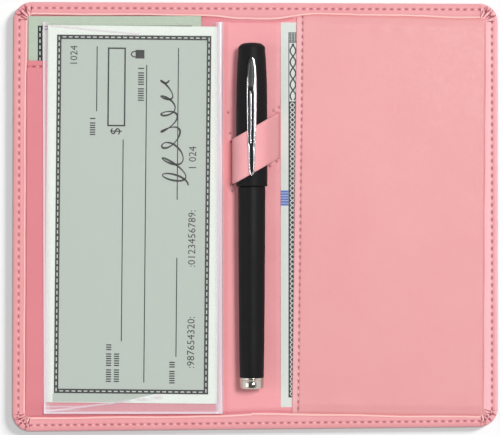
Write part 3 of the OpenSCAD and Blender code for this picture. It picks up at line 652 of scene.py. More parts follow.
def centre_panel(name, x_start, x_end):
    """A level sheet that dips under the turned edge, sunk at each slit and needle hole and painted
    there with shade.
    """
    x, y = np.meshgrid(
        np.linspace(x_start, x_end, 60),
        np.linspace(PANEL_TUCK - HALF_H, HALF_H - PANEL_TUCK, 421),
        indexing="ij")
    edge = HALF_H - end_turn(x, y) - 0.55
    high = FACE - (FACE - FLANGE_FLOOR + 0.03) * smooth_step(np.abs(y), edge - 2.2, edge - 0.1)
    high = high - sum(0.12 * bell(x, line, 1.0) for line in CREASES)
    high = high + 0.03 * np.sin(y / 13 + x / 9) + 0.02 * np.sin(y / 5.3 - x / 6)
    dent = np.zeros_like(x)
    for slit in SLITS:
        inside = 1 - smooth_step(np.abs(y - strap_middle(slit)), STRAP_W / 2, STRAP_W / 2 + 0.7)
        dent = dent + 0.8 * bell(x, slit, 0.75) * inside
    for hole_x, hole_y in NEEDLE_HOLES:
        dent = dent + np.exp(-((x - hole_x) ** 2 + (y - hole_y) ** 2) / 0.45**2)
    high = high - 0.3 * np.clip(dent, 0, 1)
    points, faces = shell(x, y, high - PANEL_T, high)
    panel = make(name, tapered(points), faces, [panel_leather],
                 dent=np.tile(np.clip(dent, 0, 1).ravel(), 2))
    bend_at(panel)
    return panel


panel_leather = leather("centre_panel_leather", PANEL_PINK, PANEL_DEEP, gloss=0.45)
centre_low = box_mm("centre_panel_left_edge")[0][0]
centre_high = box_mm("centre_panel_right_edge")[1][0]
left_centre = centre_panel("centre_panel_left", centre_low, CUT)
right_centre = centre_panel(
    "centre_panel_right", CUT, centre_high)
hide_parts("centre_panel", "centre_panel_left_edge")
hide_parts("centre_panel_right_edge")


# Pockets: a panel of pink leather on each half, caught under the turned edge on its closed sides.
# The open side is folded back and stitched: at the top on the left, beside the spine on the right.
POCKET_PINK = tint(234, 163, 164)
POCKET_DEEP = tint(226, 146, 148)
LEFT_PINK = tint(225, 135, 143)
LEFT_DEEP = tint(213, 119, 129)
POCKET_HALF_T = 0.3
TUCK_LEVEL = 1.33
EDGE_LEVEL = 2.3
SEAM_LEVEL = 2.1
LEFT_SLOPE = 8.5
RIGHT_SLOPE = 5.0
NOTE_GAP = 0.04
POCKET_LEAST_T = 0.15
HEM_SINK = 0.22
HEM_INSET = 2.4
HEM_PITCH = 2.8
MOUTH_LEAN = 0.95
pocket_high = box_mm("left_pocket_panel")[1]
LEFT_MOUTH = pocket_high[1]
LEFT_LEVEL = pocket_high[2] - POCKET_HALF_T
RIGHT_LEVEL = box_mm("right_pocket_panel")[1][2] - POCKET_HALF_T
RIGHT_MOUTH = 15.65


def tucked(inward, level, slow):
    """Middle height of a pocket: low under the turned edge, quickly up to its face, then slowly on."""
    quick = TUCK_LEVEL + (EDGE_LEVEL - TUCK_LEVEL) * smooth_step(inward, 0.1, 1.4)
    return quick + (level - EDGE_LEVEL) * smooth_step(inward, 0.6, slow)


def rising(inward, level):
    """Middle height of a pocket that comes up at once beside the turned edge, over what it holds."""
    return TUCK_LEVEL + (level - TUCK_LEVEL) * smooth_step(inward, -0.1, 1.1)


def mouth_round(distance):
    """Half thickness near a folded mouth: a quarter circle from nothing to the full half."""
    share = np.clip(distance / POCKET_HALF_T, 0, 1)
    return POCKET_HALF_T * np.sqrt(np.clip(1 - (1 - share) ** 2, 0, 1))


def hem(distance, along):
    """How far a hem is sunk, and painted with shade: along a line HEM_INSET from the mouth, most at a
    needle hole each HEM_PITCH.
    """
    return bell(distance, HEM_INSET, 0.4) * (0.2 + 0.8 * stitch_hole((along / HEM_PITCH) % 1))


x, y = np.meshgrid(
    ruled((-HALF_W + 2.6, -HALF_W + 6.8, 28), (-HALF_W + 6.8, pocket_high[0] - 4, 190),
          (pocket_high[0] - 4, pocket_high[0], 20)),
    ruled((-HALF_H + 3, -HALF_H + 9, 30), (-HALF_H + 9, LEFT_MOUTH - 4, 110),
          (LEFT_MOUTH - 4, LEFT_MOUTH - 0.4, 24), (LEFT_MOUTH - 0.4, LEFT_MOUTH, 8)),
    indexing="ij")
level = np.minimum(tucked(y + HALF_H - end_turn(x, y), LEFT_LEVEL, LEFT_SLOPE),
                   rising(x + HALF_W - side_turn(x, y), LEFT_LEVEL))
seam = smooth_step(pocket_high[0] - x, 0.3, 2.8)
middle = np.minimum(level, SEAM_LEVEL + (LEFT_LEVEL - SEAM_LEVEL) * seam)
left_dent = hem(LEFT_MOUTH - y, x)
half = mouth_round(LEFT_MOUTH - y)
pocket_points, pocket_faces = shell(x, y, middle - half, middle + half - HEM_SINK * left_dent)
left_pocket_leather = leather("left_pocket_leather", LEFT_PINK, LEFT_DEEP, gloss=0.5)
left_pocket = make("left_pocket", tapered(pocket_points), pocket_faces, [left_pocket_leather],
                   dent=np.tile(left_dent.ravel(), 2))
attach(left_pocket, "left_cover")
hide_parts("left_pocket_panel")

distance, y = np.meshgrid(
    ruled((0, 0.4, 6), (0.4, 3.6, 16), (3.6, 72, 66), (72, 80, 26)),
    np.linspace(-HALF_H + 2.8, HALF_H - 2.8, 401), indexing="ij")
mouth = RIGHT_MOUTH + MOUTH_LEAN * y / HALF_H
x = mouth + distance * (HALF_W - 2.6 - mouth) / distance.max()
from_side, from_end = HALF_W - side_turn(x, y) - x, HALF_H - end_turn(x, y) - np.abs(y)
inward = np.minimum(from_side, from_end)
edge = smooth_step(inward, 2, 6)
pucker = 0.12 * bell(HALF_H - np.abs(y), 9, 3) * np.sin(x / 2.3 + 2 * np.sin(x / 9))
pucker = pucker + 0.1 * bell(HALF_W - x, 8, 3) * np.sin(y / 2.9 + 2 * np.sin(y / 11))
sag = 0.09 * np.sin(x / 17 + y / 23) + 0.06 * np.sin(y / 9.5 - x / 21)
sag = sag + 0.04 * np.sin(x / 6.1 + y / 31)
level = np.minimum(rising(from_side, RIGHT_LEVEL), tucked(from_end, RIGHT_LEVEL, RIGHT_SLOPE))
middle = level + np.clip(pucker + sag, -0.13, 0.08) * edge
right_dent = hem(x - mouth, y)
half = mouth_round(x - mouth)
outer_face = middle + half - HEM_SINK * right_dent
over_note = np.minimum(box_mm("banknote")[1][2] + NOTE_GAP, outer_face - POCKET_LEAST_T)
inner_face = np.where(inward > 1, np.maximum(middle - half, over_note), middle - half)
pocket_points, pocket_faces = shell(x, y, np.minimum(inner_face, middle), outer_face)
pocket_leather = leather("pocket_leather", POCKET_PINK, POCKET_DEEP, gloss=0.45)
# The lip between the pocket's mouth and its stitches is drawn paler with the same colour.
hem_band = 0.3 * between(x - mouth, (0.1, 0.5), (-HEM_INSET, 0.4 - HEM_INSET))
right_pocket = make("right_pocket", tapered(pocket_points), pocket_faces, [pocket_leather],
                    dent=np.tile(right_dent.ravel(), 2), wear=np.tile(hem_band.ravel(), 2))
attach(right_pocket, "right_cover")
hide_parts("right_pocket_panel")


# Stitching: one lock stitch in pink thread round the border through every layer, seen on both
# faces, and one along each pocket's hem. Each stitch is a short arch between two needle holes.
# The thread matches the leather's pink; it is drawn paler, a painted highlight on each stitch.
THREAD_WITH_HIGHLIGHT = tint(255, 204, 206)
THREAD_R = 0.25
THREAD_YAW = 0.16
BORDER_LENGTH = 1.25
HEM_LENGTH = 1.1


def thread_material(name, colour):
    """Twisted thread: fine slanted bands along the stitch over a plain colour, slightly shiny."""
    material, tree, place = new_material(name)
    twist = node(tree, "TexWave", {"Vector": place, "Scale": 900, "Distortion": 1.5},
                 wave_type="BANDS", bands_direction="DIAGONAL").outputs["Fac"]
    dark = tuple(c * 0.8 for c in colour[:3]) + (1.0,)
    return set_surface(material, {"Base Color": mix(tree, twist, dark, colour), "Roughness": 0.5},
                       bump=(twist, 0.4, 0.00004))


def threads(name, middles, headings, length, level, up=1):
    """Arched threads: six-sided tubes whose ends dip and thin, one at each middle along its heading."""
    reach = np.linspace(-1, 1, 7)[None, :, None, None]
    turn = (np.arange(6) * math.pi / 3)[None, None, :, None]
    count = len(middles)
    cosine, sine = math.cos(THREAD_YAW), math.sin(THREAD_YAW)
    along = headings @ np.array([[cosine, sine], [-sine, cosine]])
    along = np.column_stack([along, np.zeros(count)])[:, None, None]
    side = np.cross(along, (0, 0, 1))
    centre = np.column_stack([middles, np.full(count, level)])[:, None, None]
    thick = THREAD_R * np.sqrt(1 - 0.7 * reach**4)
    dip = np.array([0, 0, -up]) * 0.16 * reach**4
    points = (centre + along * reach * length / 2 + dip
              + side * np.cos(turn) * thick + np.array([0, 0, 1]) * np.sin(turn) * thick)
    index = np.arange(points.size // 3).reshape(count, 7, 6)
    ahead = np.roll(index, -1, axis=2)
    tubes = np.stack([index[:, :-1], ahead[:, :-1], ahead[:, 1:], index[:, 1:]], axis=-1)
    faces = tubes.reshape(-1, 4).tolist() + index[:, 0].tolist() + index[:, -1].tolist()
    return make(name, points.reshape(-1, 3), faces, [thread_finish])


def border_middles(side):
    """Middle and heading of each border stitch on one half, half way between its needle holes."""
    (anchor, facing, phase, _), _ = border_stations(side)
    keep = np.abs(phase - 0.5) < 1e-6
    place = anchor[keep] + (CORNER_R - STITCH_INSET) * facing[keep]
    return tapered(place), np.column_stack([-facing[keep][:, 1], facing[keep][:, 0]])


thread_finish = thread_material("pink_thread", THREAD_WITH_HIGHLIGHT)
border_level = box_mm("left_border_stitching")[1][2] - THREAD_R + 0.09
for side, half_name, bodies, crease, nodes in (
    (-1, "left", ("left_cover", "spine"), CREASES[0],
     ("left_border_stitching", "spine_border_stitching")),
    (1, "right", ("spine", "right_cover"), CREASES[1], ("right_border_stitching",)),
):
    middles, headings = border_middles(side)
    for face, level, up in (("inside", border_level, 1), ("outside", THREAD_R + 0.03, -1)):
        row = threads(f"{half_name}_border_threads_{face}", middles, headings, BORDER_LENGTH, level, up)
        bend_at(row)
        if up > 0:
            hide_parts(*nodes)


def hem_places(name, axis):
    """Where a hem's stitches are along an axis, half way between needle holes, and their level."""
    low, high = box_mm(name)
    first = math.ceil(low[axis] / HEM_PITCH) + 0.5
    return np.arange(first, high[axis] / HEM_PITCH, 1) * HEM_PITCH, high[2] - THREAD_R + 0.08


hem_x, level = hem_places("left_hem_stitching", 0)
left_hem = threads(
    "left_hem_threads", np.column_stack([hem_x, np.full(len(hem_x), LEFT_MOUTH - HEM_INSET)]),
    np.tile([1.0, 0.0], (len(hem_x), 1)), HEM_LENGTH, level)
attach(left_hem, "left_cover")
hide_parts("left_hem_stitching")

hem_y, level = hem_places("right_hem_stitching", 1)
hem_line = RIGHT_MOUTH + MOUTH_LEAN * hem_y / HALF_H + HEM_INSET
right_hem = threads(
    "right_hem_threads", np.column_stack([hem_line, hem_y]),
    np.tile([0.0, 1.0], (len(hem_y), 1)), HEM_LENGTH, level)
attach(right_hem, "right_cover")
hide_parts("right_hem_stitching")


# Pen loop: one slanted strap of pink leather, bowed over the pen. Its ends go down through the
# slits of the centre panel and are tacked beside them.
pen_low, pen_high = box_mm("pen_cap")
PEN_X, PEN_Z = (pen_low[0] + pen_high[0]) / 2, (pen_low[2] + pen_high[2]) / 2
loop_high = box_mm("pen_loop")[1][2]
STRAP_PINK = tint(248, 177, 180)
STRAP_DEEP = tint(236, 156, 162)
STRAP_HALF_T = 0.45
LOOP_R = loop_high - PEN_Z - STRAP_HALF_T
STRAP_FOOT = 1.95
STRAP_TURN = 2.5
STRAP_SLIP = 0.045
TACKS = (((-10.1, 30.4), (-10.3, 33.5)), ((-9.6, 12.6), (-9.3, 10.2)),
         ((7.3, 42.9), (9.3, 44.2)), ((5.6, 20.3), (8.4, 22.2)))


def tube_faces(rings, size):
    """Faces of a tube of rings of one size, each joined to the next, with both ends closed."""
    index = np.arange(rings * size).reshape(rings, size)
    after = np.roll(index, -1, axis=1)
    sides = np.stack([index[:-1], after[:-1], after[1:], index[1:]], axis=-1).reshape(-1, 4)
    return sides.tolist() + [index[0].tolist(), index[-1].tolist()]


def square_to(line):
    """Unit directions square to a plane line at each of its points, on its left."""
    ahead = np.gradient(line, axis=0)
    ahead /= np.linalg.norm(ahead, axis=1, keepdims=True)
    return np.column_stack([-ahead[:, 1], ahead[:, 0]])


def strap_path():
    """The strap's middle line in X and Z: up from a slit, straight to a circle, round and down."""
    sides = []
    for slit, sign in zip(SLITS, (-1, 1)):
        run, drop = slit - PEN_X, STRAP_TURN - PEN_Z
        gap = math.hypot(run, drop)
        touch = math.atan2(drop, abs(run)) + math.acos(LOOP_R / gap)
        contact = (PEN_X + sign * LOOP_R * math.cos(touch), PEN_Z + LOOP_R * math.sin(touch))
        straight = np.linspace((slit, STRAP_TURN), contact, 12)[:-1]
        foot = np.array([[slit, STRAP_FOOT], [slit, (STRAP_FOOT + STRAP_TURN) / 2]])
        sides.append((np.concatenate([foot, straight]), touch))
    turn = np.linspace(math.pi - sides[0][1], sides[1][1], 40)
    round_part = np.stack([PEN_X + LOOP_R * np.cos(turn), PEN_Z + LOOP_R * np.sin(turn)], axis=1)
    return np.concatenate([sides[0][0], round_part, sides[1][0][::-1]])


path = strap_path()
for _ in range(3):
    path[1:-1] = (path[:-2] + 2 * path[1:-1] + path[2:]) / 4
outward = square_to(path)
bend = np.linspace(-90, 90, 7) * math.pi / 180
flank = STRAP_W / 2 - STRAP_HALF_T
across = np.concatenate([
    flank + STRAP_HALF_T * np.cos(bend), np.linspace(flank, -flank, 15)[1:-1],
    -flank - STRAP_HALF_T * np.cos(bend), np.linspace(-flank, flank, 15)[1:-1]])
proud = np.concatenate([
    STRAP_HALF_T * np.sin(bend), np.full(13, STRAP_HALF_T),
    -STRAP_HALF_T * np.sin(bend), np.full(13, -STRAP_HALF_T)])
strap = np.empty((len(path), len(across), 3))
place = path[:, None] + outward[:, None] * proud[None, :, None]
strap[..., 0], strap[..., 2] = place[..., 0], place[..., 1]
slip = STRAP_SLIP * (path[:, 1:] - STRAP_TURN)
strap[..., 1] = strap_middle(path[:, 0])[:, None] + across[None] - slip
pen_loop = make("pen_loop_strap", strap.reshape(-1, 3), tube_faces(*strap.shape[:2]),
                [leather("strap_leather", STRAP_PINK, STRAP_DEEP, gloss=0.45)])
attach(pen_loop, "spine")
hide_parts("pen_loop")

tack_ends = np.array(TACKS)
tack_span = tack_ends[:, 1] - tack_ends[:, 0]
tack_length = np.linalg.norm(tack_span, axis=1, keepdims=True)
tacks = threads("pen_loop_tacks", tack_ends.mean(axis=1), tack_span / tack_length,
                float(tack_length.mean()), FACE - 0.12)
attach(tacks, "spine")
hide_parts("pen_loop_stitching")


# Checks: two pads of pale green leaves on a card. The lower pad lies in the left pocket, and the
# upper one lies over the pocket, held by its card inside it. The form is printed in dark ink.
PAPER_EDGE = tint(230, 239, 230)
PAPER_GREEN = tint(180, 195, 177)
FORM_GREY = tint(185, 196, 186)
INK = tint(24, 32, 28)
CARD = tint(205, 200, 186)
CHECK_HALF = (34.9, 76.2)
UPPER_PLACE = (-49.8, 0.6)
UPPER_TURN = -0.53
FRAME_INSET = 3.7
FRAME_W = 1.8
DASH_PITCH = 2.45
DASH_LENGTH = 1.5
DASH_W = 0.42
PRINT_T = 0.012
# Printing on a check, as x, x, y, y from its middle: lines to write on, labels, the amount's box,
# a small padlock and the plain figures. Part of the end margin gets the field's grey-green too, ending
# in a slant.
RULED_LINES = (
    (-15.15, -14.73, 41.6, 67.9), (-4.3, -3.88, -51.3, 30.3), (4.95, 5.37, -67.9, 60.6),
    (17.75, 18.17, 6.1, 67.5), (17.85, 18.27, -57.4, -17.4))
LABELS = (
    (-17.6, -15.4, 32.0, 39.6), (-10.2, -8.1, -67.8, -51.5), (-7.0, -4.9, -67.8, -54.5),
    (1.7, 4.1, 46.0, 60.0), (15.4, 17.6, -68.2, -58.6))
LABEL_BAR = 0.5
LABEL_GAP = 0.42
LABEL_WORD = 6
AMOUNT_BOX = (-10.6, -3.3, 35.6, 67.5)
AMOUNT_LINE = 0.62
LOCK_BODY = (0.6, 4.2, 63.1, 66.6)
LOCK_BOW = (0.6, 64.85, 1.7, 1.15)
NUMBER_PLACE = (-24.2, 64.1)
FIGURE_ROWS = (("$", 4.2, -7.1, 33.6), ("1 024", 3.1, 24.2, 23.0),
               (":0123456789:", 3.1, 24.2, -9.5), (":987654320:", 3.1, 24.2, -51.5))
MARGIN_GREY_ENDS = (9.8, -4.4)


def paper(name, colour, dark, rough=0.62):
    """Paper: a faint mottle, fine fibres in the bump, and a dull surface."""
    material, tree, place = new_material(name)
    mottle = noise(tree, place, 420, 5, 0.65)
    fibre = noise(tree, place, 3200, 3, 0.7)
    return set_surface(material, {
        "Base Color": mix(tree, spread(tree, mottle, 0.35, 0.7, 0.0, 0.35), colour, dark),
        "Roughness": rough, "Specular IOR Level": 0.3}, bump=(fibre, 0.2, 0.00003))


def set_down(points, centre, turn):
    """Turns points about Z by an angle in degrees and moves them to a centre in X and Y."""
    angle = math.radians(turn)
    spin = np.array([[math.cos(angle), math.sin(angle)], [-math.sin(angle), math.cos(angle)]])
    points = np.array(points, float)
    points[..., :2] = points[..., :2] @ spin + np.array(centre)
    return points


def blocks(boxes):
    """Points and faces of upright boxes, each given as x, x, y, y, z, z."""
    ends = np.array(boxes, float).reshape(-1, 3, 2)
    pick = np.array([[i, j, k] for k in (0, 1) for i, j in ((0, 0), (1, 0), (1, 1), (0, 1))])
    points = np.stack([ends[:, axis, pick[:, axis]] for axis in range(3)], axis=-1)
    sides = np.array([[3, 2, 1, 0], [4, 5, 6, 7], [0, 1, 5, 4],
                      [1, 2, 6, 5], [2, 3, 7, 6], [3, 0, 4, 7]])
    faces = sides[None] + np.arange(len(ends))[:, None, None] * 8
    return points.reshape(-1, 3), faces.reshape(-1, 4)


def box_outline(x0, x1, y0, y1, line):
    """Four flat bars round a box given by its ends."""
    return [(x0, x1, y0, y0 + line), (x0, x1, y1 - line, y1),
            (x0, x0 + line, y0 + line, y1 - line), (x1 - line, x1, y0 + line, y1 - line)]


def label(x0, x1, y0, y1):
    """A row of plain upright bars where a label is, with a wider gap after every few."""
    pitch = LABEL_BAR + LABEL_GAP
    starts = y0 + np.arange(int((y1 - y0) / pitch)) * pitch
    return [(x0, x1, s, s + LABEL_BAR)
            for i, s in enumerate(starts) if i % (LABEL_WORD + 1) != LABEL_WORD]


def figures(text, height, x, y, level):
    """Plain figures of the built-in font, reading upwards, as a thin printed layer."""
    curve = bpy.data.curves.new("figures", "FONT")
    curve.body = text
    curve.size = height * 1.38
    curve.align_x = "CENTER"
    curve.align_y = "CENTER"
    curve.extrude = PRINT_T / 2
    curve.resolution_u = 2
    holder = bpy.data.objects.new("figures", curve)
    bpy.context.scene.collection.objects.link(holder)
    made = holder.evaluated_get(bpy.context.evaluated_depsgraph_get())
    shape = bpy.data.meshes.new_from_object(made)
    bpy.data.objects.remove(holder)
    bpy.data.curves.remove(curve)
    flat = np.empty(len(shape.vertices) * 3, np.float32)
    shape.vertices.foreach_get("co", flat)
    flat = flat.reshape(-1, 3)
    points = np.column_stack([x - flat[:, 1], y + flat[:, 0], level + flat[:, 2]])
    faces = [list(polygon.vertices) for polygon in shape.polygons]
    bpy.data.meshes.remove(shape)
    return points, faces


def ribbon(line, width, level):
    """A flat printed ribbon along a line: its two edges stand half a width off to either side."""
    side = square_to(line) * np.asarray(width).reshape(-1, 1) / 2
    ring = np.stack([line + side, line - side, line - side, line + side], axis=1)
    height = np.array([level + PRINT_T, level + PRINT_T, level, level])
    points = np.dstack([ring, np.broadcast_to(height, ring.shape[:2])])
    return points.reshape(-1, 3), tube_faces(len(line), 4)


def joined(parts):
    """Several meshes' points and faces as one."""
    points, faces, first = [], [], 0
    for part_points, part_faces in parts:
        points.append(np.asarray(part_points, float))
        faces += [[int(i) + first for i in face] for face in part_faces]
        first += len(part_points)
    return np.concatenate(points), faces


def flourish():
    """A made-up pen stroke: loops that shrink along a rising line, then a long tail."""
    share = np.linspace(0, 1, 260)
    y = 12 + 44 * share + 3.0 * np.sin(share * 43) * (1 - 0.4 * share)
    x = 17.2 - 4.5 * share + (5.2 - 3.2 * share) * np.cos(share * 43 + 0.9 * np.sin(share * 9))
    return np.column_stack([x, y]), 0.45 + 0.4 * np.sin(share * 43 + 0.6) ** 2


def print_form(name, centre, turn, level, number, pen_stroke, end_inset):
    """The printed form of one check: tinted field, dashed frame, ruled lines, boxes and figures."""
    half_x, half_y = CHECK_HALF
    field_x, field_y = half_x - FRAME_INSET, half_y - end_inset
    ink_level = level + PRINT_T
    figure_level = ink_level + PRINT_T / 2
    field_points, field_faces = blocks([
        (-field_x, field_x, -field_y, field_y, level, ink_level),
        (-field_x - 0.5, MARGIN_GREY_ENDS[0], 0.2 - half_y, -field_y, level, ink_level)])
    slant = (field_points[:, 0] == MARGIN_GREY_ENDS[0]) & (field_points[:, 1] < -field_y - 0.1)
    field_points[slant, 0] = MARGIN_GREY_ENDS[1]

    bars = box_outline(-field_x, field_x, -field_y, field_y, FRAME_W)
    bars += [*RULED_LINES, *box_outline(*AMOUNT_BOX, AMOUNT_LINE), LOCK_BODY]
    for ends in LABELS:
        bars += label(*ends)
    bow_x, bow_y, bow_high, bow_wide = LOCK_BOW
    bow = np.linspace(0, math.pi, 13)
    bow = np.column_stack([bow_x - bow_high * np.sin(bow), bow_y - bow_wide * np.cos(bow)])
    parts = [blocks([(*bar, ink_level, ink_level + PRINT_T) for bar in bars]),
             ribbon(bow, 0.5, ink_level), figures(number, 3.0, *NUMBER_PLACE, figure_level)]
    parts += [figures(*row, figure_level) for row in FIGURE_ROWS]
    if pen_stroke:
        parts.append(ribbon(*flourish(), ink_level + 0.004))

    dashes = []
    for far, reach, upright in ((field_x, field_y, False), (field_y, field_x, True)):
        steps = int((2 * reach - 1 - 2 * FRAME_W * upright) / DASH_PITCH)
        starts = -steps * DASH_PITCH / 2 + np.arange(steps + 1) * DASH_PITCH
        for middle in (FRAME_W / 2 - far, far - FRAME_W / 2):
            for start in starts:
                ends = (middle - DASH_W / 2, middle + DASH_W / 2,
                        start - DASH_LENGTH / 2, start + DASH_LENGTH / 2)
                ends = ends[2:] + ends[:2] if upright else ends
                dashes.append((*ends, ink_level + PRINT_T, ink_level + 2 * PRINT_T))
    return [
        make(name + suffix, set_down(points, centre, turn), faces, [material], smooth=False)
        for suffix, material, (points, faces) in (
            ("_ink", ink_finish, joined(parts)),
            ("_field", field_finish, (field_points, field_faces)),
            ("_dashes", dash_finish, blocks(dashes)))]


def leaves(name, centre, turn, low, high, count, material):
    """A stack of loose leaves, each a little out of line with the next."""
    step = (high - low) / count
    number = np.arange(count)
    slip_x, slip_y = 0.12 * np.sin(number * 2.4), 0.1 * np.cos(number * 1.9)
    half_x, half_y = CHECK_HALF
    boxes = np.column_stack([
        slip_x - half_x, slip_x + half_x, slip_y - half_y, slip_y + half_y,
        low + step * number, low + step * (number + 0.86)])
    points, faces = blocks(boxes)
    return make(name, set_down(points, centre, turn), faces, [material], smooth=False)


ink_finish = paper("printed_ink", INK, tint(60, 74, 66), rough=0.5)
field_finish = paper("tinted_field", FORM_GREY, tint(182, 196, 184))
dash_finish = paper("frame_dashes", tint(206, 216, 208), tint(180, 190, 183))
upper_paper = paper("upper_check_paper", PAPER_EDGE, tint(218, 228, 218))
lower_paper = paper("lower_check_paper", PAPER_GREEN, tint(200, 208, 190))
card_finish = fibrous("backing_card", CARD, tint(180, 172, 155), 1100)
dress(card_finish, "upper_check_backing", "lower_check_backing")
dress(paper("binding_strip", tint(214, 222, 210), PAPER_EDGE), "upper_check_binding")
lower_low, lower_high = box_mm("lower_check_backing")
lower_place = ((lower_low[0] + lower_high[0]) / 2, (lower_low[1] + lower_high[1]) / 2)
for pad, body, centre, turn, stock, number, stroke, inset, count in (
    ("upper_check", "upper_checks", UPPER_PLACE, UPPER_TURN, upper_paper, "1024", True, FRAME_INSET, 9),
    ("lower_check", "lower_checks", lower_place, 0.0, lower_paper, "1063", False, 3.75, 4),
):
    stack_low, stack_high = (corner[2] for corner in box_mm(pad + "_leaves"))
    top_low, top_high = (corner[2] for corner in box_mm(pad + "_top_leaf"))
    stack = leaves(pad + "_stack", centre, turn, stack_low, stack_high, count, stock)
    sheet = leaves(pad + "_top", centre, turn, top_low, top_high - 3 * PRINT_T, 1, stock)
    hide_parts(pad + "_leaves")
    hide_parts(pad + "_top_leaf")
    layers = print_form(pad, centre, turn, top_high - 3 * PRINT_T - (top_high - top_low) * 0.1,
                        number, stroke, inset)
    for piece in (stack, sheet, *layers):
        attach(piece, body)


# Clear flap: one sheet of clear film over the checks, welded to the centre panel at its right
# edge, where it curls round, and free on its other three sides.
FILM_T = 0.13
FILM_MILK = tint(252, 238, 247)
FILM_LEAN = (1.2, 1.6)
flap_low, flap_high = box_mm("clear_flap")
root_low = box_mm("clear_flap_root")[0]
FILM_LEVEL = (flap_low[2] + flap_high[2]) / 2
CURL_FOOT = root_low[2] + FILM_T / 2 + 0.01
CURL_R = (FILM_LEVEL - CURL_FOOT) / 2
CURL_X = flap_high[0] - 0.6
CURL_STEPS = 25
FILM_HAZE = 0.03
# In the curl the film is made milkier: partly two layers seen edge on, partly a painted highlight.
CURL_HAZE_AND_GLINT = 0.42
PAPER_Y = (-75.6, 78.2)
FOLD_W = 0.6
FOLD_LINES = (
    ((-84, 77), (-47, 73.5)), ((-86, -79), (-59, -75.8)), ((-59, -75.8), (-38, -73.2)))


def clear_film(name):
    """Clear film: see-through where it lies flat on paper, milky white where its attribute says, partly
    real milkiness and partly painted highlight, and more so towards grazing views.
    """
    material, tree, place = new_material(name)
    edge = node(tree, "LayerWeight", {"Blend": 0.12}).outputs["Facing"]
    cover = node(tree, "Math", {0: attribute(tree, "haze"), 1: edge}, operation="MAXIMUM")
    return set_surface(material, {
        "Base Color": FILM_MILK, "Roughness": 0.12, "Specular IOR Level": 0.6,
        "Alpha": cover.outputs[0]}, bump=(noise(tree, place, 30, 2, 0.5), 0.1, 0.0004))


def line_distance(x, y, start, end):
    """Distance of points from a straight line between two points, ends included."""
    run = np.array(end) - np.array(start)
    share = np.clip(((x - start[0]) * run[0] + (y - start[1]) * run[1]) / (run @ run), 0, 1)
    return np.hypot(x - start[0] - share * run[0], y - start[1] - share * run[1])


def film_path():
    """The film's middle line in X and Z: a foot, half a circle to the right, then flat to the left."""
    turn = np.linspace(-math.pi / 2, math.pi / 2, CURL_STEPS)
    curl = np.stack([CURL_X + CURL_R * np.cos(turn), CURL_FOOT + CURL_R * (1 + np.sin(turn))], axis=1)
    flat_x = ruled((flap_low[0], flap_low[0] + 4, 16), (flap_low[0] + 4, CURL_X - 3, 120),
                   (CURL_X - 3, CURL_X - 0.2, 12))[::-1]
    flat = np.stack([flat_x, np.full(len(flat_x), FILM_LEVEL)], axis=1)
    return np.concatenate([curl, flat])


film_line = film_path()
outward = -square_to(film_line)
left, bottom = flap_low[:2]
rows_y = ruled((bottom, bottom + 5, 16), (bottom + 5, flap_high[1] - 5, 180),
               (flap_high[1] - 5, flap_high[1], 16))
flat_x, y = np.meshgrid(film_line[:, 0], rows_y, indexing="ij")
step = np.arange(len(film_line))[:, None]
lie = step > CURL_STEPS + 1
lift = 0.08 * (1 + np.sin(y / 19 + flat_x / 27)) + 0.05 * (1 + np.sin(flat_x / 7.5 - y / 41))
# Where the film turns milky white: a faint base and more beyond the paper, and painted highlights: a
# band and a bright line along its free left edge, a line along its lower edge, the ripples near its
# lower end, its creases, and the top of its curl.
haze = FILM_HAZE + 0.13 * smooth_step(np.maximum(PAPER_Y[0] - y, y - PAPER_Y[1]), 0, 0.6)
haze = haze + 0.15 * smooth_step(left + 3.2 - flat_x, 0, 1.5) + 0.55 * bell(flat_x, left + 0.3, 0.45)
ripples = 0.4 * bell(y, bottom + 1.6, 0.25) + 0.4 * bell(y, bottom + 2.9, 0.2)
haze = haze + 0.6 * bell(y, bottom + 0.3, 0.5) + ripples * smooth_step(-flat_x, 66, 80)
for start, end in FOLD_LINES:
    away = line_distance(flat_x, y, start, end)
    lift = lift + 0.25 * bell(away, 0, FOLD_W)
    haze = haze + 0.4 * bell(away, 0, FOLD_W / 2)
lift = lift * smooth_step(CURL_X - flat_x, 0, 6) * lie
haze = np.where(lie, haze, CURL_HAZE_AND_GLINT + 0.5 * bell(step, 20, 2.5))
haze = haze + 0.3 * bell(flat_x, CURL_X - 0.8, 0.8)
lean = np.interp(y, (bottom, flap_high[1]), FILM_LEAN[::-1]) * smooth_step(-flat_x, 60, 87)
film_points = []
for side in (-1, 1):
    skin = film_line + outward * side * FILM_T / 2
    film_points.append(np.stack([
        np.broadcast_to(skin[:, :1], y.shape) + lean, y,
        np.broadcast_to(skin[:, 1:], y.shape) + lift], axis=-1))
_, film_faces = shell(flat_x, y, flat_x, flat_x)
film_points = np.concatenate([p.reshape(-1, 3) for p in film_points[::-1]])
film = make("clear_film_flap", film_points, film_faces, [clear_film("clear_film")],
            haze=np.tile(np.clip(haze, 0, 0.9).ravel(), 2))
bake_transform(film)
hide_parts("clear_flap", "clear_flap_root")


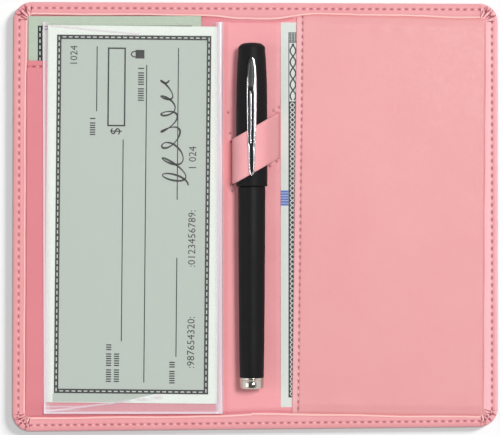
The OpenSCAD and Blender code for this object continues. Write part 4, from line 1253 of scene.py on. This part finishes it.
# Pen: a capped ballpoint in matt black plastic, with a chrome clip and end plug. The cap, barrel
# and plug are turned shapes, and the clip is pressed from one strip with raised rails.
PEN_BLACK = tint(7, 7, 7)
CHROME = tint(214, 214, 216)
PEN_SIDES = 96
cap_low, cap_high = box_mm("pen_cap")
barrel_low, barrel_high = box_mm("pen_barrel")
plug_low, plug_high = box_mm("pen_end_plug")
clip_low, clip_high = box_mm("pen_clip")
CAP_MOUTH_R = (cap_high[0] - cap_low[0]) / 2
BARREL_R = (barrel_high[0] - barrel_low[0]) / 2
PLUG_R = (plug_high[0] - plug_low[0]) / 2
CAP_TOP_R = 5.3
CAP_BORE_R = 4.9
GRIP_SEAT_R = 4.42
REFILL_R = 2.5
BARREL_END_R = 4.85
CLIP_Y = (16.6, 17.6, 20, 24, 28, 30, 36, 44, 51, 55, 59, 61.8, 62.9)
CLIP_HALF_W = (0.75, 1.1, 1.28, 1.38, 1.45, 1.62, 1.85, 2.0, 2.0, 1.95, 1.7, 1.3, 0.75)
CLIP_END_HALF_W = 0.05
CLIP_ENDS = (1.5, 1.6)
CLIP_T = 0.85
RAIL_H = 0.42
GROOVE_Y = (17.0, 18.0, 22, 26.2, 27.4, 28.2, 29.2, 48.9, 50.1, 51.1, 53.0, 57, 61.1, 62.2)
GROOVE_LEFT = (0, 0.42, 0.6, 0.62, 0.7, 0.85, 1.25, 1.45, 1.4, 1.4, 1.4, 1.4, 0.8, 0)
GROOVE_RIGHT = (0, 0.35, 0.45, 0.35, 0.3, 0.4, 0.62, 0.66, 0.5, 0.45, 0.65, 0.9, 0.5, 0)
DEPTH_Y = (17, 26.2, 27.4, 28.4, 49.1, 50.3, 53, 62)
DEPTH = (0.22, 0.24, 0.04, 0.27, 0.27, 0.04, 0.2, 0.16)
SHADE_FROM = (51.5, 54.8)


def turned(name, profile, material, body, replaced):
    """A solid turned about the pen's axis from a profile of radius and Y, closed on the axis."""
    radius, along = np.array(profile, float).T
    turn = np.arange(PEN_SIDES) * 2 * math.pi / PEN_SIDES
    points = np.stack([
        PEN_X + radius[:, None] * np.sin(turn),
        np.broadcast_to(along[:, None], (len(radius), PEN_SIDES)),
        PEN_Z + radius[:, None] * np.cos(turn)], axis=-1)
    index = np.arange(points.size // 3).reshape(points.shape[:2])
    after = np.roll(index, -1, axis=1)
    ahead = np.roll(index, -1, axis=0)
    faces = np.stack([index, ahead, np.roll(ahead, -1, axis=1), after], axis=-1)
    if radius[0] < 0.01:
        faces = faces[:-1]
    piece = make(name, points.reshape(-1, 3), faces.reshape(-1, 4), [material])
    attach(piece, body)
    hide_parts(replaced)
    return piece


def rounded(start, corner, end, radius, steps=6):
    """Points of a corner between two straight lines, rounded off by a quadratic curve."""
    start, corner, end = (np.array(p, float) for p in (start, corner, end))
    before = corner + (start - corner) / np.linalg.norm(start - corner) * radius
    after = corner + (end - corner) / np.linalg.norm(end - corner) * radius
    share = np.linspace(0, 1, steps)[:, None]
    curve = (1 - share) ** 2 * before + 2 * share * (1 - share) * corner + share**2 * after
    return [tuple(point) for point in curve]


def matt_plastic(name, colour):
    """Soft-touch plastic: a fine even grain in the bump, and lighter, duller patches of wear."""
    material, tree, place = new_material(name)
    grain = noise(tree, place, 5200, 2, 0.6)
    rubbed = noise(tree, place, 90, 4, 0.6)
    light = tuple(c * 1.35 for c in colour[:3]) + (1.0,)
    return set_surface(material, {
        "Base Color": mix(tree, spread(tree, rubbed, 0.4, 0.75, 0.0, 0.5), colour, light),
        "Roughness": spread(tree, rubbed, 0.3, 0.7, 0.5, 0.62),
        "Specular IOR Level": 0.18}, bump=(grain, 0.25, 0.00003))


def bright_metal(name, colour, rough):
    """Plated metal: a clean mirror with faint smudges in the roughness."""
    material, tree, place = new_material(name)
    smudge = noise(tree, place, 240, 4, 0.6)
    return set_surface(material, {
        "Base Color": colour, "Metallic": 1.0,
        "Roughness": spread(tree, smudge, 0.35, 0.75, rough, rough + 0.08)})


black_finish = matt_plastic("matt_black_plastic", PEN_BLACK)
chrome_finish = bright_metal("chrome", CHROME, 0.07)
mouth, top = cap_low[1], cap_high[1]
bore_top = box_mm("pen_cap_liner")[1][1] + 1.0
cap_profile = (
    [(0, bore_top)] + rounded((0, bore_top), (CAP_BORE_R, bore_top), (CAP_BORE_R, mouth), 0.6)
    + rounded((CAP_BORE_R, bore_top), (CAP_BORE_R, mouth), (CAP_MOUTH_R, mouth), 0.15)
    + rounded((CAP_BORE_R, mouth), (CAP_MOUTH_R, mouth), (CAP_MOUTH_R, top), 0.35)
    + [(CAP_MOUTH_R, 37.0), (6.22, 45), (6.12, 53), (5.75, 62)]
    + rounded((5.75, 62), (CAP_TOP_R, top - 2.1), (4.5, top - 1.35), 0.35)
    + [(4.5, top - 1.32), (3.7, top - 0.88), (2.7, top - 0.66), (1.3, top - 0.6), (0, top - 0.58)])
turned("pen_cap_shell", cap_profile, black_finish, "pen_cap", "pen_cap")
top, end = barrel_high[1], barrel_low[1]
grip_low = box_mm("pen_grip")[0][1]
plug_bore_r, plug_bore_top = 4.05, plug_high[1] + 0.1
barrel_profile = (
    rounded((GRIP_SEAT_R, grip_low), (GRIP_SEAT_R, top), (BARREL_R, top), 0.2)
    + rounded((GRIP_SEAT_R, top), (BARREL_R, top), (BARREL_R, end), 0.35)
    + [(5.38, -10), (5.2, -35), (5.0, -55)]
    + rounded((5.0, -55), (BARREL_END_R, end), (plug_bore_r, end), 0.2)
    + [(plug_bore_r, end), (plug_bore_r, plug_bore_top), (REFILL_R, plug_bore_top),
       (REFILL_R, grip_low - 0.05), (GRIP_SEAT_R, grip_low - 0.05)])
turned("pen_barrel_tube", barrel_profile, black_finish, "pen_barrel", "pen_barrel")
plug_end = plug_low[1]
plug_profile = (
    [(0, plug_high[1])] + rounded((0, plug_high[1]), (3.95, plug_high[1]), (3.95, end), 0.4)
    + [(3.95, end - 0.02)] + rounded((3.95, end - 0.02), (PLUG_R, end - 0.02), (PLUG_R, plug_end), 0.25)
    + [(PLUG_R - 0.02, end - 0.9), (PLUG_R - 0.16, end - 1.05), (PLUG_R - 0.02, end - 1.2)]
    + rounded((PLUG_R, end - 1.2), (PLUG_R - 0.2, plug_end), (0, plug_end), 0.8)
    + [(2.5, plug_end), (0, plug_end)])
turned("pen_end_cap", plug_profile, bright_metal("warm_chrome", tint(196, 189, 178), 0.09),
       "pen_barrel", "pen_end_plug")
dress(bright_metal("steel", tint(196, 192, 184), 0.16), "pen_point")
dress(matt_plastic("white_plastic", tint(226, 226, 222)), "pen_refill", "pen_cap_liner")
dress(matt_plastic("grip_rubber", tint(44, 44, 46)), "pen_grip")

clip_tip, clip_top = clip_low[1] - 0.25, clip_high[1] - 1.1
tip_length, top_length = CLIP_ENDS
quarter = np.linspace(0, math.pi / 2, 10)
clip_y = np.concatenate([
    clip_tip + tip_length * (1 - np.cos(quarter)),
    np.linspace(clip_tip + tip_length, clip_top - top_length, 130)[1:-1],
    clip_top - top_length * (1 - np.cos(quarter[::-1]))])
half_w = np.interp(clip_y, (clip_tip, *CLIP_Y, clip_top),
                   (CLIP_END_HALF_W, *CLIP_HALF_W, CLIP_END_HALF_W))
half_w[10:-10] = np.convolve(half_w, np.full(9, 1 / 9), mode="same")[10:-10]
left_in = np.interp(clip_y, GROOVE_Y, GROOVE_LEFT)
right_in = np.interp(clip_y, GROOVE_Y, GROOVE_RIGHT)
deep = np.interp(clip_y, DEPTH_Y, DEPTH)
ridge = between(clip_y, (28.2, 29.2), (-50.1, -49.1))
rail = np.linspace(0, 1, 11)
columns = [(-1, r) for r in rail] + [(0, f) for f in np.linspace(-1, 1, 15)[1:-1]]
columns += [(1, r) for r in rail[::-1]]
x_grid, z_grid = [], []
shoulder = clip_high[2] - RAIL_H
for kind, value in columns:
    if kind:
        inner = left_in if kind < 0 else right_in
        x_grid.append(kind * (half_w - (half_w - inner) * value))
        z_grid.append(shoulder + RAIL_H * np.sqrt(np.clip(1 - (2 * value - 1) ** 2, 0, 1))
                      - deep * smooth_step(value, 0.6, 1.0))
    else:
        x_grid.append(np.where(value < 0, left_in, right_in) * value)
        wire = 0.3 * bell(value, -0.43, 0.11) * ridge
        z_grid.append(shoulder - deep * (1.15 - 0.15 * (1 - value**2)) + wire)
x_grid, z_grid = np.stack(x_grid, axis=1), np.stack(z_grid, axis=1)
clip_points, clip_faces = shell(
    PEN_X + x_grid, np.broadcast_to(clip_y[:, None], x_grid.shape),
    np.full_like(x_grid, clip_high[2] - CLIP_T), z_grid)
kinds, values = np.array(columns)[:-1].T
on_floor = (kinds == 0) | ((kinds < 0) & (values == 1))
on_wire = (kinds == 0) & (values > -0.6) & (values < -0.28)
along = clip_y[:-1, None]
# The strip's groove floor gets the black plastic, and its upper body and upper left rail a darker
# chrome: painted shade in the recess and on the clip's dim upper part.
which = np.zeros(len(clip_faces), np.int32)
top_faces = np.where(along > SHADE_FROM[0], 2, 1) * on_floor * ~(on_wire & (ridge[:-1, None] > 0.5))
top_faces = np.where((along > SHADE_FROM[1]) & (kinds < 0), 2, top_faces)
which[:top_faces.size] = top_faces.ravel()
clip = make("pen_clip_strip", clip_points, clip_faces,
            [chrome_finish, black_finish, bright_metal("shaded_chrome", tint(58, 58, 57), 0.3)], which)
root_turn = np.linspace(0, 2 * math.pi, 33)[:-1]
root_z = np.array([clip_low[2] - 0.1, 14.4, 15.2, 15.7, 15.9])
root_w = np.array([1.2, 1.05, 1.05, 1.1, 1.2])
root = np.stack([
    PEN_X + root_w[:, None] * np.cos(root_turn) * 0.9,
    clip_top - 2.0 + root_w[:, None] * np.sin(root_turn) * 1.1,
    np.broadcast_to(root_z[:, None], (5, 32))], axis=-1)
clip_root = make("pen_clip_root", root.reshape(-1, 3), tube_faces(5, 32), [chrome_finish])
for piece in (clip, clip_root):
    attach(piece, "pen_cap")
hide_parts("pen_clip")


# Banknote: a plain slip of note paper in the right pocket, with generic printing: a dark band of
# interlaced waves near its edge, a woven blue ribbon across it, and an oval of fine lines.
NOTE_PAPER = tint(222, 226, 220)
NOTE_INK = tint(58, 62, 64)
RIBBON_BLUE = tint(86, 112, 190)
BAND = (13.3, 16.5)
BAND_RIM = 0.35
NOTE_MARGINS = (3.9, 4.0)
CURLS_H = 28
SCREEN_H = 4.2
FAR_BORDER = (6, 3)
OVAL_HALF = (17, 24)
note_low, note_high = box_mm("banknote")
note_top = note_high[2] - 2 * PRINT_T


def wave_line(start, end, middle, height, waves, phase, count=700):
    """A line along Y whose X swings round a middle as a sine."""
    y = np.linspace(start, end, count)
    turn = (y - start) / (end - start) * waves * 2 * math.pi + phase
    return np.column_stack([middle + height * np.sin(turn), y])


points, faces = blocks([(note_low[0], note_high[0], note_low[1], note_high[1],
                         note_low[2], note_top)])
note = make("banknote_paper", points, faces, [paper("note_paper", NOTE_PAPER, tint(206, 214, 208))],
            smooth=False)
bottom, top = note_low[1] + NOTE_MARGINS[0], note_high[1] - NOTE_MARGINS[1]
(left, right), far = BAND, note_high[0]
curls_from, curls_to = top - CURLS_H, top - SCREEN_H
flat = (note_top, note_top + PRINT_T)
inner, outer = far - FAR_BORDER[0], far - FAR_BORDER[1]
dark = blocks([(*ends, *flat) for ends in (
    (left, right, bottom, curls_from), (left, right, curls_to, top),
    (left, left + BAND_RIM, curls_from, curls_to), (inner, outer, bottom, top),
    (right, inner, bottom, bottom + 3), (right, inner, top - 3, top))])
middle = (left + right) / 2
curls = [ribbon(wave_line(curls_from + 0.5, curls_to - 0.4, middle + 0.2, 1.1, 2.5, phase),
                0.55, note_top + 0.001 * k)
         for k, phase in enumerate((0.4, math.pi + 0.4))]
oval = []
centre_x, centre_y = (right + far) / 2, (bottom + top) / 2
angle = np.linspace(0, 2 * math.pi, 361)
for k in range(7):
    swing = 1 + 0.06 * np.sin(angle * 14 + k)
    oval.append(ribbon(np.column_stack([
        centre_x + (OVAL_HALF[0] - 1.2 * k) * swing * np.cos(angle),
        centre_y + (OVAL_HALF[1] - 1.5 * k) * swing * np.sin(angle)]), 0.22, note_top + 0.0008 * k))
points, faces = joined([dark, *curls, *oval])
note_ink = make("banknote_print", points, faces, [paper("note_ink", NOTE_INK, tint(84, 92, 90))],
                smooth=False)
pale = [ribbon(wave_line(bottom + 0.5, curls_from - 0.5, middle, 0.85, 30, phase, 1500), 0.42,
               note_top + PRINT_T * 0.6 + 0.001 * k)
        for k, phase in enumerate((0.0, math.pi))]
screen_x, screen_y = left + BAND_RIM, curls_to + 0.4
pale.append(blocks([
    (screen_x + 0.62 * i, screen_x + 0.3 + 0.62 * i,
     screen_y + 0.62 * j, screen_y + 0.4 + 0.62 * j + 0.2 * (i % 2),
     note_top + PRINT_T * 0.5, note_top + PRINT_T * 1.2) for i in range(5) for j in range(6)]))
points, faces = joined(pale)
note_pale = make("banknote_waves", points, faces,
                 [paper("note_pale", tint(208, 212, 208), tint(168, 174, 172))], smooth=False)
ribbon_y = np.arange(4.2, 10.4, 1.05)
points, faces = blocks([(note_low[0] + 0.02, left - 0.05, s, s + 0.9, *flat) for s in ribbon_y])
woven = make("banknote_ribbon", points, faces,
             [paper("ribbon_blue", RIBBON_BLUE, tint(140, 160, 214), rough=0.35)], smooth=False)
for piece in (note, note_ink, note_pale, woven):
    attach(piece, "banknote")
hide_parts("banknote")
